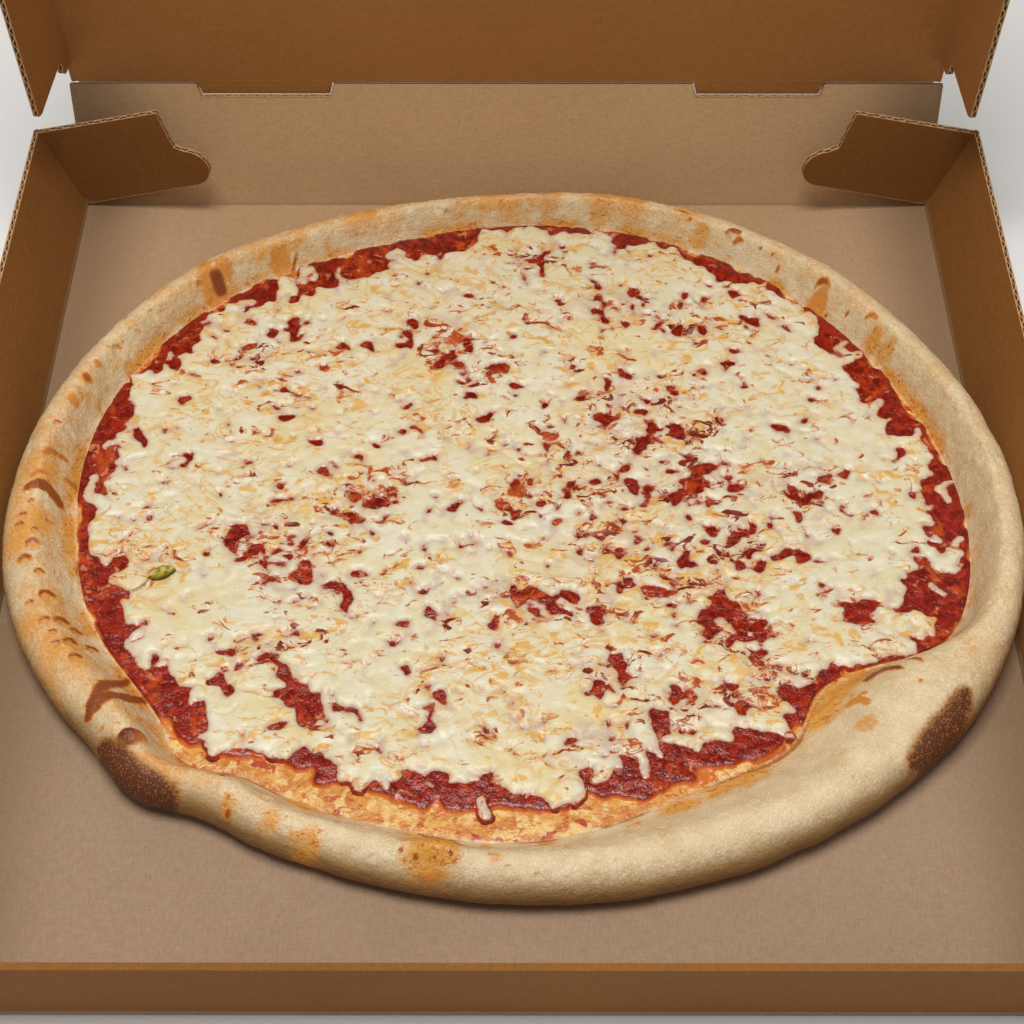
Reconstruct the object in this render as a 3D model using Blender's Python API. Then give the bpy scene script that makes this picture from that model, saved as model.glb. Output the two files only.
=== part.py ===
"""Cheese pizza in its folded corrugated box, with the box's lid on its crease.

Run with: blender --background --python part.py
Units are metres, +Z up, and the box opens towards -Y. The origin is the centre of the tray's underside.
"""
import math

import bmesh
import bpy
import numpy as np
from mathutils import Matrix, Vector

# Board and tray: a 16 inch box in single-wall board, with walls that lean outwards.
BOARD = 0.0026
INNER = 0.406
FOLD_ALLOWANCE = 0.0009
FOLD_HALF = INNER / 2 + FOLD_ALLOWANCE
SIDE_WALL = 0.0485
SIDE_LEAN = math.radians(18.5)
BACK_WALL = 0.0648
BACK_LEAN = math.radians(15.75)
FRONT_WALL = 0.0485
FRONT_LEAN = math.radians(6.0)
FLAP_LENGTH = 0.062
FLAP_LOBE = 0.0105
FLAP_TURN = math.radians(6.0)
FLAP_TIP_DROP = 0.0028
FLAP_NECK = (0.0015, 0.025)
LOBE_INSET = 0.001
FRONT_TAB_LENGTH = 0.022
FRONT_TAB_DROP = 0.005
CREASE_PROUD = 1.06
CREASE_SIDES = 16
CREASE_LIFT = 0.0003
CORNER_CLEAR = 0.0006
FLAP_FOOT = 0.0022
OVERLAP = 0.0005
GAP = 0.0003
WALL_CLEAR = 0.0007

# Lid: stands almost upright on the back wall's crease, leaning a little over the pizza.
LID_LEAN = math.radians(4.2)
LID_ALLOWANCE = 0.0019
LID_HALF = INNER / 2 - LID_ALLOWANCE
LID_LENGTH = 0.424
LID_FLAP = 0.045
LID_FRONT_FLAP = 0.040
LID_FRONT_TAPER = 0.008
LID_FRONT_SHORT = 0.002
LEFT_FLAP_SPLAY = math.radians(8.5)
RIGHT_FLAP_SPLAY = math.radians(7.0)
FRONT_FLAP_SPLAY = math.radians(5.0)
CREASE_GAP = 0.0008
TAB_SIDE_GAP = 0.0006
# Cut end of a lid side flap, as distances along the lid and out from its fold: a straight start, the centre and
# radius of a round notch, and the points beyond it, which pass clear of the rear corner flaps as the lid closes.
LID_FLAP_START = (0.0115, 0.0055)
LID_FLAP_NOTCH = (0.0150, 0.0075, 0.0035)
LID_FLAP_CUT = ((0.0198, 0.0112), (0.0206, 0.0130), (0.0199, 0.0200), (0.0186, 0.0330), (0.0176, 0.0415),
                (0.0190, LID_FLAP))
LID_FLAP_SHORT = 0.0032
LID_FLAP_BEVEL = 0.004
TAB_DEPTH = 0.0075
TAB_SLOPE = 0.002
LID_TABS = ((-0.144, -0.0805), (0.087, 0.148))

# Pizza: hand-stretched, a little wider than deep, and turned up where it meets the side walls.
PIZZA_Y = 0.012
PIZZA_BASE = BOARD + GAP
OUTLINE_RADIUS = 0.1949
OUTLINE_WAVES = ((1, 0.0039, 24.6), (2, 0.0129, -5.4), (3, 0.0021, -138.5), (4, 0.0007, -121.0),
                 (5, 0.0015, -67.0))
OUTLINE_LOBES = ((225.0, 5.0, 0.0055), (233.0, 5.0, -0.002), (329.0, 7.0, 0.0010))
FOOT_INSET = 0.008
RIM_WIDTH = 0.020
RIM_WIDTH_LOBES = ((88.0, 22.0, -0.005), (190.0, 20.0, 0.009), (212.0, 12.0, 0.007),
                   (250.0, 30.0, 0.005), (303.0, 24.0, 0.020), (325.0, 9.0, 0.024))
CROWN_SHARE = 0.45
CROWN_MOST = 0.013
RIM_HEIGHT = 0.0195
RIM_HEIGHT_LOBES = ((90.0, 45.0, -0.0015), (185.0, 35.0, 0.0015), (0.0, 35.0, 0.0050),
                    (325.0, 14.0, 0.0030), (222.0, 12.0, 0.0020))
RIM_RIPPLES = ((5, 0.0006, 0.8), (11, 0.0004, 0.0))
RIM_WIDEST = 0.0085
RIM_WIDEST_LOBES = ((185.0, 40.0, 0.0030), (0.0, 38.0, 0.0085))
BED = 0.0048
SAUCE_THICK = 0.0012
SAUCE_INSET = 0.0010
CHEESE_THICK = 0.0024
CHEESE_ROUND = 0.0008
CHEESE_LUMP = 0.00035
CHEESE_MARGIN = 0.006
CHEESE_MARGIN_LOBES = ((195.0, 25.0, 0.008), (104.0, 10.0, 0.007), (22.0, 12.0, 0.010),
                       (342.0, 12.0, 0.009), (285.0, 25.0, 0.005))
CHEESE_SCALLOPS = ((17, 0.0016, 0.4), (29, 0.0011, 2.1), (43, 0.0007, 4.0))
# Bubbles and knobs on the rim: x, y, spread and height.
RIM_BUMPS = ((0.132, -0.074, 0.016, 0.0050), (-0.139, -0.100, 0.011, 0.0030),
             (-0.150, -0.073, 0.008, 0.0032), (-0.023, -0.136, 0.009, 0.0040),
             (-0.190, 0.030, 0.007, 0.0022), (-0.132, 0.147, 0.008, 0.0020),
             (0.160, -0.086, 0.012, 0.0020), (0.148, 0.138, 0.008, 0.0016))
# Hollows in the cheese where the sauce shows: x, y, spread.
CHEESE_HOLLOWS = ((-0.027, 0.092, 0.010), (-0.085, -0.014, 0.014), (0.009, -0.036, 0.012),
                  (0.085, -0.045, 0.011), (0.066, 0.122, 0.009), (0.041, -0.066, 0.008),
                  (-0.078, -0.078, 0.010), (0.133, 0.028, 0.009), (0.093, 0.004, 0.010),
                  (-0.055, 0.016, 0.009))
CHEESE_RINGS = (0.965, 0.90, 0.82, 0.73, 0.64, 0.54, 0.43, 0.30, 0.15)
HOLLOW_DEPTH = 0.0011
LEAF_AT = (-0.1375, -0.0255)
LEAF_LENGTH = 0.0105
LEAF_WIDTH = 0.0050
LEAF_THICK = 0.0004
LEAF_LIFT = 0.0011
LEAF_WAVE = 0.0004
LEAF_CUP = 0.0003
LEAF_TURN = math.radians(22.0)

RIM_STEPS = 144
SAUCE_STEPS = 96

for old in list(bpy.data.objects):
    bpy.data.objects.remove(old, do_unlink=True)
part = bpy.data.collections.new("pizza_in_box")
bpy.context.scene.collection.children.link(part)
builders = bpy.data.collections.new("builders")
bpy.context.scene.collection.children.link(builders)


def plain_material(name, colour, roughness):
    """A Principled BSDF with one colour and roughness."""
    material = bpy.data.materials.new(name)
    material.use_nodes = True
    shader = material.node_tree.nodes["Principled BSDF"]
    shader.inputs["Base Color"].default_value = (*colour, 1.0)
    shader.inputs["Roughness"].default_value = roughness
    shader.inputs["Metallic"].default_value = 0.0
    return material


def frame_at(origin, u_axis, v_axis):
    """A matrix whose x and y run along two unit directions of a panel, and z along its normal."""
    u = Vector(u_axis).normalized()
    v = Vector(v_axis).normalized()
    n = u.cross(v)
    rows = [(u[i], v[i], n[i], origin[i]) for i in range(3)]
    rows.append((0.0, 0.0, 0.0, 1.0))
    return Matrix(rows)


def board_panel(name, outline, frame, thickness=BOARD):
    """A panel of board: a flat outline, filled and extruded to a thickness about its middle."""
    curve = bpy.data.curves.new(name, "CURVE")
    curve.dimensions = "2D"
    curve.fill_mode = "BOTH"
    curve.extrude = thickness / 2
    spline = curve.splines.new("POLY")
    spline.points.add(len(outline) - 1)
    for point, (u, v) in zip(spline.points, outline):
        point.co = (u, v, 0.0, 1.0)
    spline.use_cyclic_u = True
    guide = bpy.data.objects.new(name + "_curve", curve)
    bpy.context.scene.collection.objects.link(guide)
    graph = bpy.context.evaluated_depsgraph_get()
    mesh = bpy.data.meshes.new_from_object(guide.evaluated_get(graph))
    bpy.data.objects.remove(guide)
    bpy.data.curves.remove(curve)
    bm = bmesh.new()
    bm.from_mesh(mesh)
    bmesh.ops.remove_doubles(bm, verts=bm.verts, dist=0.00001)
    bmesh.ops.transform(bm, matrix=frame, verts=bm.verts)
    bmesh.ops.recalc_face_normals(bm, faces=bm.faces)
    bm.to_mesh(mesh)
    bm.free()
    panel = bpy.data.objects.new(name, mesh)
    builders.objects.link(panel)
    return panel


def crease(name, start, end):
    """A rounded fold: a rod of the board's thickness along the crease, a hair proud of the faces and ends."""
    reach = (Vector(end) - Vector(start)).normalized() * OVERLAP / 2
    a = Vector(start) - reach
    b = Vector(end) + reach
    run = b - a
    bm = bmesh.new()
    place = Matrix.Translation((a + b) / 2) @ run.to_track_quat("Z", "Y").to_matrix().to_4x4()
    bmesh.ops.create_cone(bm, cap_ends=True, segments=CREASE_SIDES, radius1=BOARD / 2 * CREASE_PROUD,
                          radius2=BOARD / 2 * CREASE_PROUD, depth=run.length, matrix=place)
    mesh = bpy.data.meshes.new(name)
    bm.to_mesh(mesh)
    bm.free()
    rod = bpy.data.objects.new(name, mesh)
    builders.objects.link(rod)
    return rod


def fuse(name, pieces, material, origin=(0.0, 0.0, 0.0)):
    """One solid from several: a Boolean union of the first piece with a collection of the others."""
    others = bpy.data.collections.new(name + "_others")
    builders.children.link(others)
    for piece in pieces[1:]:
        builders.objects.unlink(piece)
        others.objects.link(piece)
    union = pieces[0].modifiers.new("union", "BOOLEAN")
    union.operation = "UNION"
    union.operand_type = "COLLECTION"
    union.collection = others
    union.solver = "EXACT"
    graph = bpy.context.evaluated_depsgraph_get()
    mesh = bpy.data.meshes.new_from_object(pieces[0].evaluated_get(graph))
    bm = bmesh.new()
    bm.from_mesh(mesh)
    bmesh.ops.remove_doubles(bm, verts=bm.verts, dist=0.00002)
    bmesh.ops.translate(bm, verts=bm.verts, vec=-Vector(origin))
    bm.to_mesh(mesh)
    bm.free()
    for piece in pieces:
        bpy.data.objects.remove(piece)
    bpy.data.collections.remove(others)
    solid = bpy.data.objects.new(name, mesh)
    solid.location = origin
    part.objects.link(solid)
    mesh.materials.clear()
    mesh.materials.append(material)
    return solid


def arc(centre, radius, start_deg, end_deg, steps):
    """Points along an arc."""
    angles = [math.radians(start_deg + (end_deg - start_deg) * i / steps) for i in range(steps + 1)]
    return [(centre[0] + radius * math.cos(t), centre[1] + radius * math.sin(t)) for t in angles]


def back_wall_outline():
    """The back wall from its floor crease up to just under the lid's crease, with a notch for each tab."""
    top = BACK_WALL - BOARD / 2 - CREASE_GAP
    notch = BACK_WALL - TAB_DEPTH - CREASE_GAP
    side = TAB_SIDE_GAP
    reach = FOLD_HALF - CORNER_CLEAR
    points = [(-reach, -OVERLAP), (reach, -OVERLAP), (reach, top)]
    for low, high in reversed(LID_TABS):
        points += [(high + side, top), (high - TAB_SLOPE + side, notch),
                   (low + TAB_SLOPE - side, notch), (low - side, top)]
    points.append((-reach, top))
    return points


def corner_flap_outline():
    """A rear corner flap: a straight top, a cut down to a round lobe, and a bottom that clears the floor."""
    lobe = arc((FLAP_LENGTH - LOBE_INSET, FLAP_LOBE + LOBE_INSET), FLAP_LOBE, -90.0, 72.0, 9)
    neck = (FLAP_LENGTH - FLAP_NECK[0], FLAP_NECK[1])
    return [(-OVERLAP, FLAP_FOOT)] + lobe + [neck, (FLAP_LENGTH, SIDE_WALL - FLAP_TIP_DROP),
                                          (-OVERLAP, SIDE_WALL - GAP)]


def front_tab_outline():
    """A short tab behind the front wall, a little lower than the wall and tapered."""
    return [(-OVERLAP, FLAP_FOOT), (FRONT_TAB_LENGTH, FLAP_FOOT), (FRONT_TAB_LENGTH, SIDE_WALL - FRONT_TAB_DROP),
            (-OVERLAP, SIDE_WALL - GAP)]


def trough_outline():
    """Section of the floor and both side walls, with a rounded fold on each outer corner."""
    mid = BOARD / 2
    up = (math.sin(SIDE_LEAN), math.cos(SIDE_LEAN))
    out = (math.cos(SIDE_LEAN), -math.sin(SIDE_LEAN))
    crest = (FOLD_HALF + up[0] * SIDE_WALL, mid + up[1] * SIDE_WALL)
    inner_foot = FOLD_HALF + mid * math.tan(SIDE_LEAN) - mid / math.cos(SIDE_LEAN)
    right = arc((FOLD_HALF, mid), mid, -90.0, -math.degrees(SIDE_LEAN), 4)
    right += [(crest[0] + out[0] * mid, crest[1] + out[1] * mid),
              (crest[0] - out[0] * mid, crest[1] - out[1] * mid), (inner_foot, BOARD)]
    return right + [(-x, z) for x, z in reversed(right)]


def build_tray(material):
    """The tray: floor, four walls, rear corner flaps and front corner tabs, folded from one board."""
    mid = BOARD / 2
    half = FOLD_HALF
    pieces = [board_panel("trough", trough_outline(), frame_at((0, 0, 0), (1, 0, 0), (0, 0, 1)), 2 * half)]
    back_up = (0.0, math.sin(BACK_LEAN), math.cos(BACK_LEAN))
    pieces.append(board_panel("back", back_wall_outline(), frame_at((0, half, mid), (1, 0, 0), back_up)))
    front_up = (0.0, -math.sin(FRONT_LEAN), math.cos(FRONT_LEAN))
    reach = half - CORNER_CLEAR
    front = [(-reach, -OVERLAP), (reach, -OVERLAP), (reach, FRONT_WALL), (-reach, FRONT_WALL)]
    pieces.append(board_panel("front", front, frame_at((0, -half, mid), (1, 0, 0), front_up)))
    bead = mid + CREASE_LIFT
    for y in (-half, half):
        pieces.append(crease("fold", (-reach, y, bead), (reach, y, bead)))
    for side in (-1, 1):
        up = Vector((side * math.sin(SIDE_LEAN), 0.0, math.cos(SIDE_LEAN)))
        inward = Vector((-side * math.cos(SIDE_LEAN), 0.0, math.sin(SIDE_LEAN)))
        for end, outline in ((1, corner_flap_outline()), (-1, front_tab_outline())):
            corner = Vector((side * half, end * half, mid))
            along = inward * math.cos(FLAP_TURN) + Vector((0.0, -end * math.sin(FLAP_TURN), 0.0))
            pieces.append(board_panel("corner", outline, frame_at(corner, along, up)))
            pieces.append(crease("fold_corner", corner + up * FLAP_FOOT, corner + up * SIDE_WALL))
    return fuse("tray", pieces, material)


def hinge_point():
    """Middle of the crease between the back wall and the lid."""
    return Vector((0.0, FOLD_HALF + BACK_WALL * math.sin(BACK_LEAN),
                   BOARD / 2 + BACK_WALL * math.cos(BACK_LEAN)))


def lid_panel_outline():
    """The lid's top panel from its crease, with the two tabs that are cut out of the back wall."""
    points = []
    for low, high in LID_TABS:
        points += [(low, 0.0), (low + TAB_SLOPE, -TAB_DEPTH), (high - TAB_SLOPE, -TAB_DEPTH), (high, 0.0)]
    points = [(-LID_HALF, 0.0)] + points + [(LID_HALF, 0.0), (LID_HALF, LID_LENGTH), (-LID_HALF, LID_LENGTH)]
    return points


def lid_side_flap_outline():
    """A side flap of the lid: along the lid, and out from its fold, with the cut end beside the hinge."""
    front = LID_LENGTH - LID_FLAP_SHORT
    notch = arc(LID_FLAP_NOTCH[:2], LID_FLAP_NOTCH[2], 170.0, 60.0, 4)
    bevel = [(front - LID_FLAP_BEVEL, LID_FLAP), (front, LID_FLAP - LID_FLAP_BEVEL), (front, -OVERLAP)]
    return [(LID_FLAP_START[0], -OVERLAP), LID_FLAP_START] + notch + list(LID_FLAP_CUT) + bevel


def build_lid(material):
    """The lid: its panel with the hinge tabs, two side flaps and the front flap."""
    hinge = hinge_point()
    up = Vector((0.0, -math.sin(LID_LEAN), math.cos(LID_LEAN)))
    out = Vector((0.0, -math.cos(LID_LEAN), -math.sin(LID_LEAN)))
    pieces = [board_panel("panel", lid_panel_outline(), frame_at(hinge, (1, 0, 0), up))]
    short = Vector((LID_HALF - BOARD, 0.0, 0.0))
    pieces.append(crease("hinge_fold", hinge - short, hinge + short))
    for side, splay in ((-1, LEFT_FLAP_SPLAY), (1, RIGHT_FLAP_SPLAY)):
        root = hinge + Vector((side * LID_HALF, 0.0, 0.0))
        across = out * math.cos(splay) + Vector((side * math.sin(splay), 0.0, 0.0))
        pieces.append(board_panel("side_flap", lid_side_flap_outline(), frame_at(root, up, across)))
        pieces.append(crease("side_fold", root, root + up * LID_LENGTH))
    edge = hinge + up * LID_LENGTH
    down = out * math.cos(FRONT_FLAP_SPLAY) + up * math.sin(FRONT_FLAP_SPLAY)
    reach = LID_HALF - LID_FRONT_SHORT
    short_reach = reach - LID_FRONT_TAPER
    flap = [(-reach, -OVERLAP), (reach, -OVERLAP), (short_reach, LID_FRONT_FLAP), (-short_reach, LID_FRONT_FLAP)]
    pieces.append(board_panel("front_flap", flap, frame_at(edge, (1, 0, 0), down)))
    pieces.append(crease("front_fold", edge - short, edge + short))
    return fuse("lid", pieces, material, origin=hinge)


def lobes(angle, table):
    """Sum of smooth humps round the pizza: each has a middle and a spread in degrees, and a height."""
    degrees = np.degrees(angle)
    total = np.zeros_like(degrees)
    for middle, spread, height in table:
        turn = (degrees - middle + 180.0) % 360.0 - 180.0
        total += height * np.exp(-(turn / spread) ** 2)
    return total


def pizza_radius(angle):
    """Outer radius of the rim: a mean radius, a few whole-number waves, and local lobes."""
    radius = np.full_like(angle, OUTLINE_RADIUS)
    for count, height, phase in OUTLINE_WAVES:
        radius += height * np.cos(count * angle - math.radians(phase))
    return radius + lobes(angle, OUTLINE_LOBES)


def rim_width(angle):
    """Width of the rim from its outer edge to the flat bed."""
    return RIM_WIDTH + lobes(angle, RIM_WIDTH_LOBES)


def ring_solid(name, top_rings, bottom_rings, material):
    """A closed solid between two stacks of rings, each a (steps, 3) array running from outside in.

    The first top ring and the first bottom ring are joined, and each stack is closed by a fan on a middle point.
    """
    steps = len(top_rings[0])
    bottom_first = bottom_rings[::-1]
    stack = bottom_first + top_rings
    low_middle = bottom_first[0].mean(axis=0)
    high_middle = top_rings[-1].mean(axis=0)
    points = np.concatenate(stack + [low_middle[None], high_middle[None]])
    faces = []
    for ring in range(len(stack) - 1):
        for i in range(steps):
            j = (i + 1) % steps
            faces.append((ring * steps + i, ring * steps + j, (ring + 1) * steps + j, (ring + 1) * steps + i))
    low = len(stack) * steps
    last = (len(stack) - 1) * steps
    for i in range(steps):
        j = (i + 1) % steps
        faces.append((low, j, i))
        faces.append((low + 1, last + i, last + j))
    mesh = bpy.data.meshes.new(name)
    mesh.from_pydata(points.tolist(), [], faces)
    mesh.shade_smooth()
    mesh.materials.append(material)
    solid = bpy.data.objects.new(name, mesh)
    part.objects.link(solid)
    return solid


def ring(angle, radius, height):
    """One ring of points round the pizza's middle, at a height over its underside."""
    x = radius * np.cos(angle)
    y = PIZZA_Y + radius * np.sin(angle)
    z = PIZZA_BASE + height * np.ones_like(angle)
    return np.stack([x, y, z], axis=1)


def raise_bumps(points, weight):
    """Lifts the points of a ring by each bubble's bell curve, times a weight."""
    for x, y, spread, height in RIM_BUMPS:
        near = np.exp(-((points[:, 0] - x) ** 2 + (points[:, 1] - y) ** 2) / (2 * spread ** 2))
        points[:, 2] += weight * height * near
    return points


def press_to_walls(points):
    """Holds the points of a ring inside the leaning side walls, where the rim is pressed against them."""
    face = FOLD_HALF - BOARD / 2 / math.cos(SIDE_LEAN) + (points[:, 2] - BOARD / 2) * math.tan(SIDE_LEAN)
    limit = face - WALL_CLEAR
    points[:, 0] = np.clip(points[:, 0], -limit, limit)
    return points


def build_crust(material):
    """The crust: a puffed rim of changing width and height round a flat bed, lofted ring by ring."""
    angle = np.arange(RIM_STEPS) * (2 * math.pi / RIM_STEPS)
    radius = pizza_radius(angle)
    width = rim_width(angle)
    height = RIM_HEIGHT + lobes(angle, RIM_HEIGHT_LOBES)
    for count, ripple, phase in RIM_RIPPLES:
        height += ripple * np.sin(count * angle + phase)
    widest = RIM_WIDEST + lobes(angle, RIM_WIDEST_LOBES)
    crown = np.minimum(CROWN_SHARE * width, CROWN_MOST)
    underside = [ring(angle, radius - FOOT_INSET, 0.0), ring(angle, radius * 0.5, 0.0)]
    top = []
    for turn in (30.0, 60.0, 90.0):
        t = math.radians(turn)
        foot = ring(angle, radius - FOOT_INSET + FOOT_INSET * math.sin(t), widest * (1 - math.cos(t)))
        top.append(press_to_walls(foot))
    for turn in (30.0, 60.0, 90.0):
        t = math.radians(turn)
        shell = ring(angle, radius - crown + crown * math.cos(t), widest + (height - widest) * math.sin(t))
        top.append(press_to_walls(raise_bumps(shell, math.sin(t) ** 2)))
    for share in (0.25, 0.5, 0.75, 1.0):
        drop = BED + (height - BED) * (0.5 + 0.5 * math.cos(math.pi * share))
        slope = ring(angle, radius - crown - (width - crown) * share, drop)
        top.append(raise_bumps(slope, 1.0 - share))
    bed = radius - width
    top.append(ring(angle, bed * 0.5, BED))
    return ring_solid("pizza_crust", top, underside, material)


def build_sauce(material):
    """The sauce: a thin layer over the whole bed, just clear of the rim's inner slope."""
    angle = np.arange(SAUCE_STEPS) * (2 * math.pi / SAUCE_STEPS)
    bed = pizza_radius(angle) - rim_width(angle)
    low = BED + GAP
    high = low + SAUCE_THICK
    underside = [ring(angle, bed - 1.6 * SAUCE_INSET, low)]
    top = [ring(angle, bed - SAUCE_INSET, low + SAUCE_THICK * 0.5), ring(angle, bed - 2 * SAUCE_INSET, high),
           ring(angle, bed * 0.5, high)]
    return ring_solid("pizza_sauce", top, underside, material)


def cheese_surface(points):
    """Relief of the cheese: soft lumps from crossed waves, less a bell-shaped hollow at each bare patch."""
    x = points[:, 0]
    y = points[:, 1]
    lumps = np.sin(x * 410 + 1.1 * np.sin(y * 170)) * np.sin(y * 370 + 1.3 * np.sin(x * 190))
    lumps += 0.6 * np.sin(x * 230 - y * 260 + 0.7)
    points[:, 2] += CHEESE_LUMP * lumps
    for hx, hy, spread in CHEESE_HOLLOWS:
        near = np.exp(-((x - hx) ** 2 + (y - hy) ** 2) / (2 * spread ** 2))
        points[:, 2] -= HOLLOW_DEPTH * near
    return points


def build_cheese(material):
    """The cheese: a lumpy layer with a scalloped edge, inside a border of bare sauce."""
    angle = np.arange(RIM_STEPS) * (2 * math.pi / RIM_STEPS)
    edge = pizza_radius(angle) - rim_width(angle) - CHEESE_MARGIN - lobes(angle, CHEESE_MARGIN_LOBES)
    for count, height, phase in CHEESE_SCALLOPS:
        edge += height * np.sin(count * angle + phase)
    low = BED + GAP + SAUCE_THICK + GAP
    high = low + CHEESE_THICK
    underside = [ring(angle, edge - CHEESE_ROUND, low)]
    top = [ring(angle, edge, low + CHEESE_ROUND), ring(angle, edge - 2 * CHEESE_ROUND, high - CHEESE_ROUND / 2)]
    for share in CHEESE_RINGS:
        top.append(cheese_surface(ring(angle, edge * share, high)))
    return ring_solid("pizza_cheese", top, underside, material)


def build_leaf(material):
    """A fleck of herb leaf lying on the cheese: a pointed oval sheet with a wave along it."""
    along = 8
    across = 4
    u = np.linspace(-1.0, 1.0, along + 1)
    v = np.linspace(-1.0, 1.0, across + 1)
    grid_u, grid_v = np.meshgrid(u, v, indexing="ij")
    half = LEAF_WIDTH / 2 * np.sqrt(np.clip(1.0 - grid_u ** 2, 0.04, 1.0))
    x = grid_u * LEAF_LENGTH / 2
    y = grid_v * half
    cheese_top = PIZZA_BASE + BED + 2 * GAP + SAUCE_THICK + CHEESE_THICK
    z = cheese_top + LEAF_LIFT + LEAF_WAVE * np.sin(grid_u * 2.6 + 0.6) + LEAF_CUP * grid_v ** 2
    bm = bmesh.new()
    rows = []
    for lift in (0.0, LEAF_THICK):
        rows.append([[bm.verts.new((x[i, j], y[i, j], z[i, j] + lift)) for j in range(across + 1)]
                     for i in range(along + 1)])
    low, high = rows
    for i in range(along):
        for j in range(across):
            bm.faces.new((high[i][j], high[i + 1][j], high[i + 1][j + 1]))
            bm.faces.new((high[i][j], high[i + 1][j + 1], high[i][j + 1]))
            bm.faces.new((low[i][j], low[i + 1][j + 1], low[i + 1][j]))
            bm.faces.new((low[i][j], low[i][j + 1], low[i + 1][j + 1]))
    border = [(i, 0) for i in range(along)] + [(along, j) for j in range(across)]
    border += [(i, across) for i in range(along, 0, -1)] + [(0, j) for j in range(across, 0, -1)]
    for k, (i, j) in enumerate(border):
        m, n = border[(k + 1) % len(border)]
        bm.faces.new((low[i][j], low[m][n], high[m][n], high[i][j]))
    place = Matrix.Translation((LEAF_AT[0], LEAF_AT[1], 0.0)) @ Matrix.Rotation(LEAF_TURN, 4, "Z")
    bmesh.ops.transform(bm, matrix=place, verts=bm.verts)
    bmesh.ops.recalc_face_normals(bm, faces=bm.faces)
    mesh = bpy.data.meshes.new("herb_leaf")
    bm.to_mesh(mesh)
    bm.free()
    mesh.shade_smooth()
    mesh.materials.append(material)
    leaf = bpy.data.objects.new("herb_leaf", mesh)
    part.objects.link(leaf)
    return leaf


kraft = plain_material("kraft_board", (0.33, 0.20, 0.11), 0.85)
dough = plain_material("baked_crust", (0.78, 0.60, 0.33), 0.60)
tomato = plain_material("tomato_sauce", (0.42, 0.04, 0.015), 0.35)
melted = plain_material("melted_cheese", (0.80, 0.70, 0.45), 0.38)
green = plain_material("leaf_green", (0.22, 0.20, 0.03), 0.50)

build_tray(kraft)
build_lid(kraft)
build_crust(dough)
build_sauce(tomato)
build_cheese(melted)
build_leaf(green)

bpy.data.collections.remove(builders)
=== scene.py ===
# %% [markdown]
# A whole cheese pizza in its corrugated box, dressed over a fixed model. The model holds the true sizes: a
# folded tray, a lid on its crease, and plain solids for dough, sauce and cheese. This lesson gives them
# their looks: fine surfaces worked out with numpy, and materials made of nodes.

# %% Load the fixed model
import math

import bpy
import numpy as np
from mathutils import Euler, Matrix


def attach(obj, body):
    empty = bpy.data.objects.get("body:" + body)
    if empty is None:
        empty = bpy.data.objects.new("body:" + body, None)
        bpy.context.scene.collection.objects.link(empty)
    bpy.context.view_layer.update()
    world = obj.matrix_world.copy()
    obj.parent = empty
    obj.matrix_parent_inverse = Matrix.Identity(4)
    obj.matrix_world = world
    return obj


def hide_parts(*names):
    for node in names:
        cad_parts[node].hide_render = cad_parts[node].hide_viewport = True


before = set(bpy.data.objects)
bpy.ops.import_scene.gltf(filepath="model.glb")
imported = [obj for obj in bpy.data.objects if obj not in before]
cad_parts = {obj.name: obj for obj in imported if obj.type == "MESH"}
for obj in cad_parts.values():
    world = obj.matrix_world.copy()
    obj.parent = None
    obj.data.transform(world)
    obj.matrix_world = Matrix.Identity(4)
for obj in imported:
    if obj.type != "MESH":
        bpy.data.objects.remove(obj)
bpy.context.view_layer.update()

MM = 0.001
print("nodes:", sorted(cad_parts))

# %% [markdown]
# The camera looks down into the open box from the front, as someone about to take a slice would. Its place,
# tilt and lens come from the box itself: the creases of a square 406 mm floor fix all three.

# %% Camera
CAMERA_AT = (0.0035, -0.4468, 0.5922)
CAMERA_TILT = math.radians(38.0)
CAMERA_YAW = math.radians(0.07)
LENS_MM = 62.57
SENSOR_MM = 36.0

camera = bpy.data.objects.new("camera", bpy.data.cameras.new("camera"))
camera.data.lens = LENS_MM
camera.data.sensor_width = SENSOR_MM
camera.data.clip_start = 0.01
camera.location = CAMERA_AT
camera.rotation_euler = Euler((CAMERA_TILT, 0.0, CAMERA_YAW))
bpy.context.scene.collection.objects.link(camera)
bpy.context.scene.camera = camera
print("camera at", CAMERA_AT, "lens", LENS_MM, "mm")

# %% [markdown]
# A kitchen's ceiling light is wide and soft. One large lamp stands above and behind the box, so wet sauce
# and oil catch small glints and the near side of the crust falls into a soft shade, and a weaker one fills
# from the front.

# %% Lights and floor
scene = bpy.context.scene
scene.view_settings.view_transform = "Standard"


def soft_light(name, place, size, watts, colour):
    """A square area lamp at a place, turned to face the middle of the box's floor."""
    data = bpy.data.lights.new(name, "AREA")
    data.shape = "SQUARE"
    data.size = size
    data.energy = watts
    data.color = colour
    lamp = bpy.data.objects.new(name, data)
    lamp.location = place
    toward = -np.array(place)
    lamp.rotation_euler = (math.acos(-toward[2] / np.linalg.norm(toward)), 0.0,
                           math.atan2(toward[1], toward[0]) - math.pi / 2)
    scene.collection.objects.link(lamp)


WARM_WHITE = (1.0, 0.97, 0.93)
COOL_WHITE = (0.95, 0.97, 1.0)
soft_light("ceiling_light", (-0.10, -0.14, 1.7), 0.7, 27.0, WARM_WHITE)
soft_light("front_fill", (0.2, -1.2, 1.5), 1.4, 2.0, COOL_WHITE)

WORLD_STRENGTH = 0.24
world = bpy.data.worlds.new("studio")
world.use_nodes = True
world.node_tree.nodes["Background"].inputs["Color"].default_value = (*WARM_WHITE, 1.0)
world.node_tree.nodes["Background"].inputs["Strength"].default_value = WORLD_STRENGTH
scene.world = world

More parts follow.
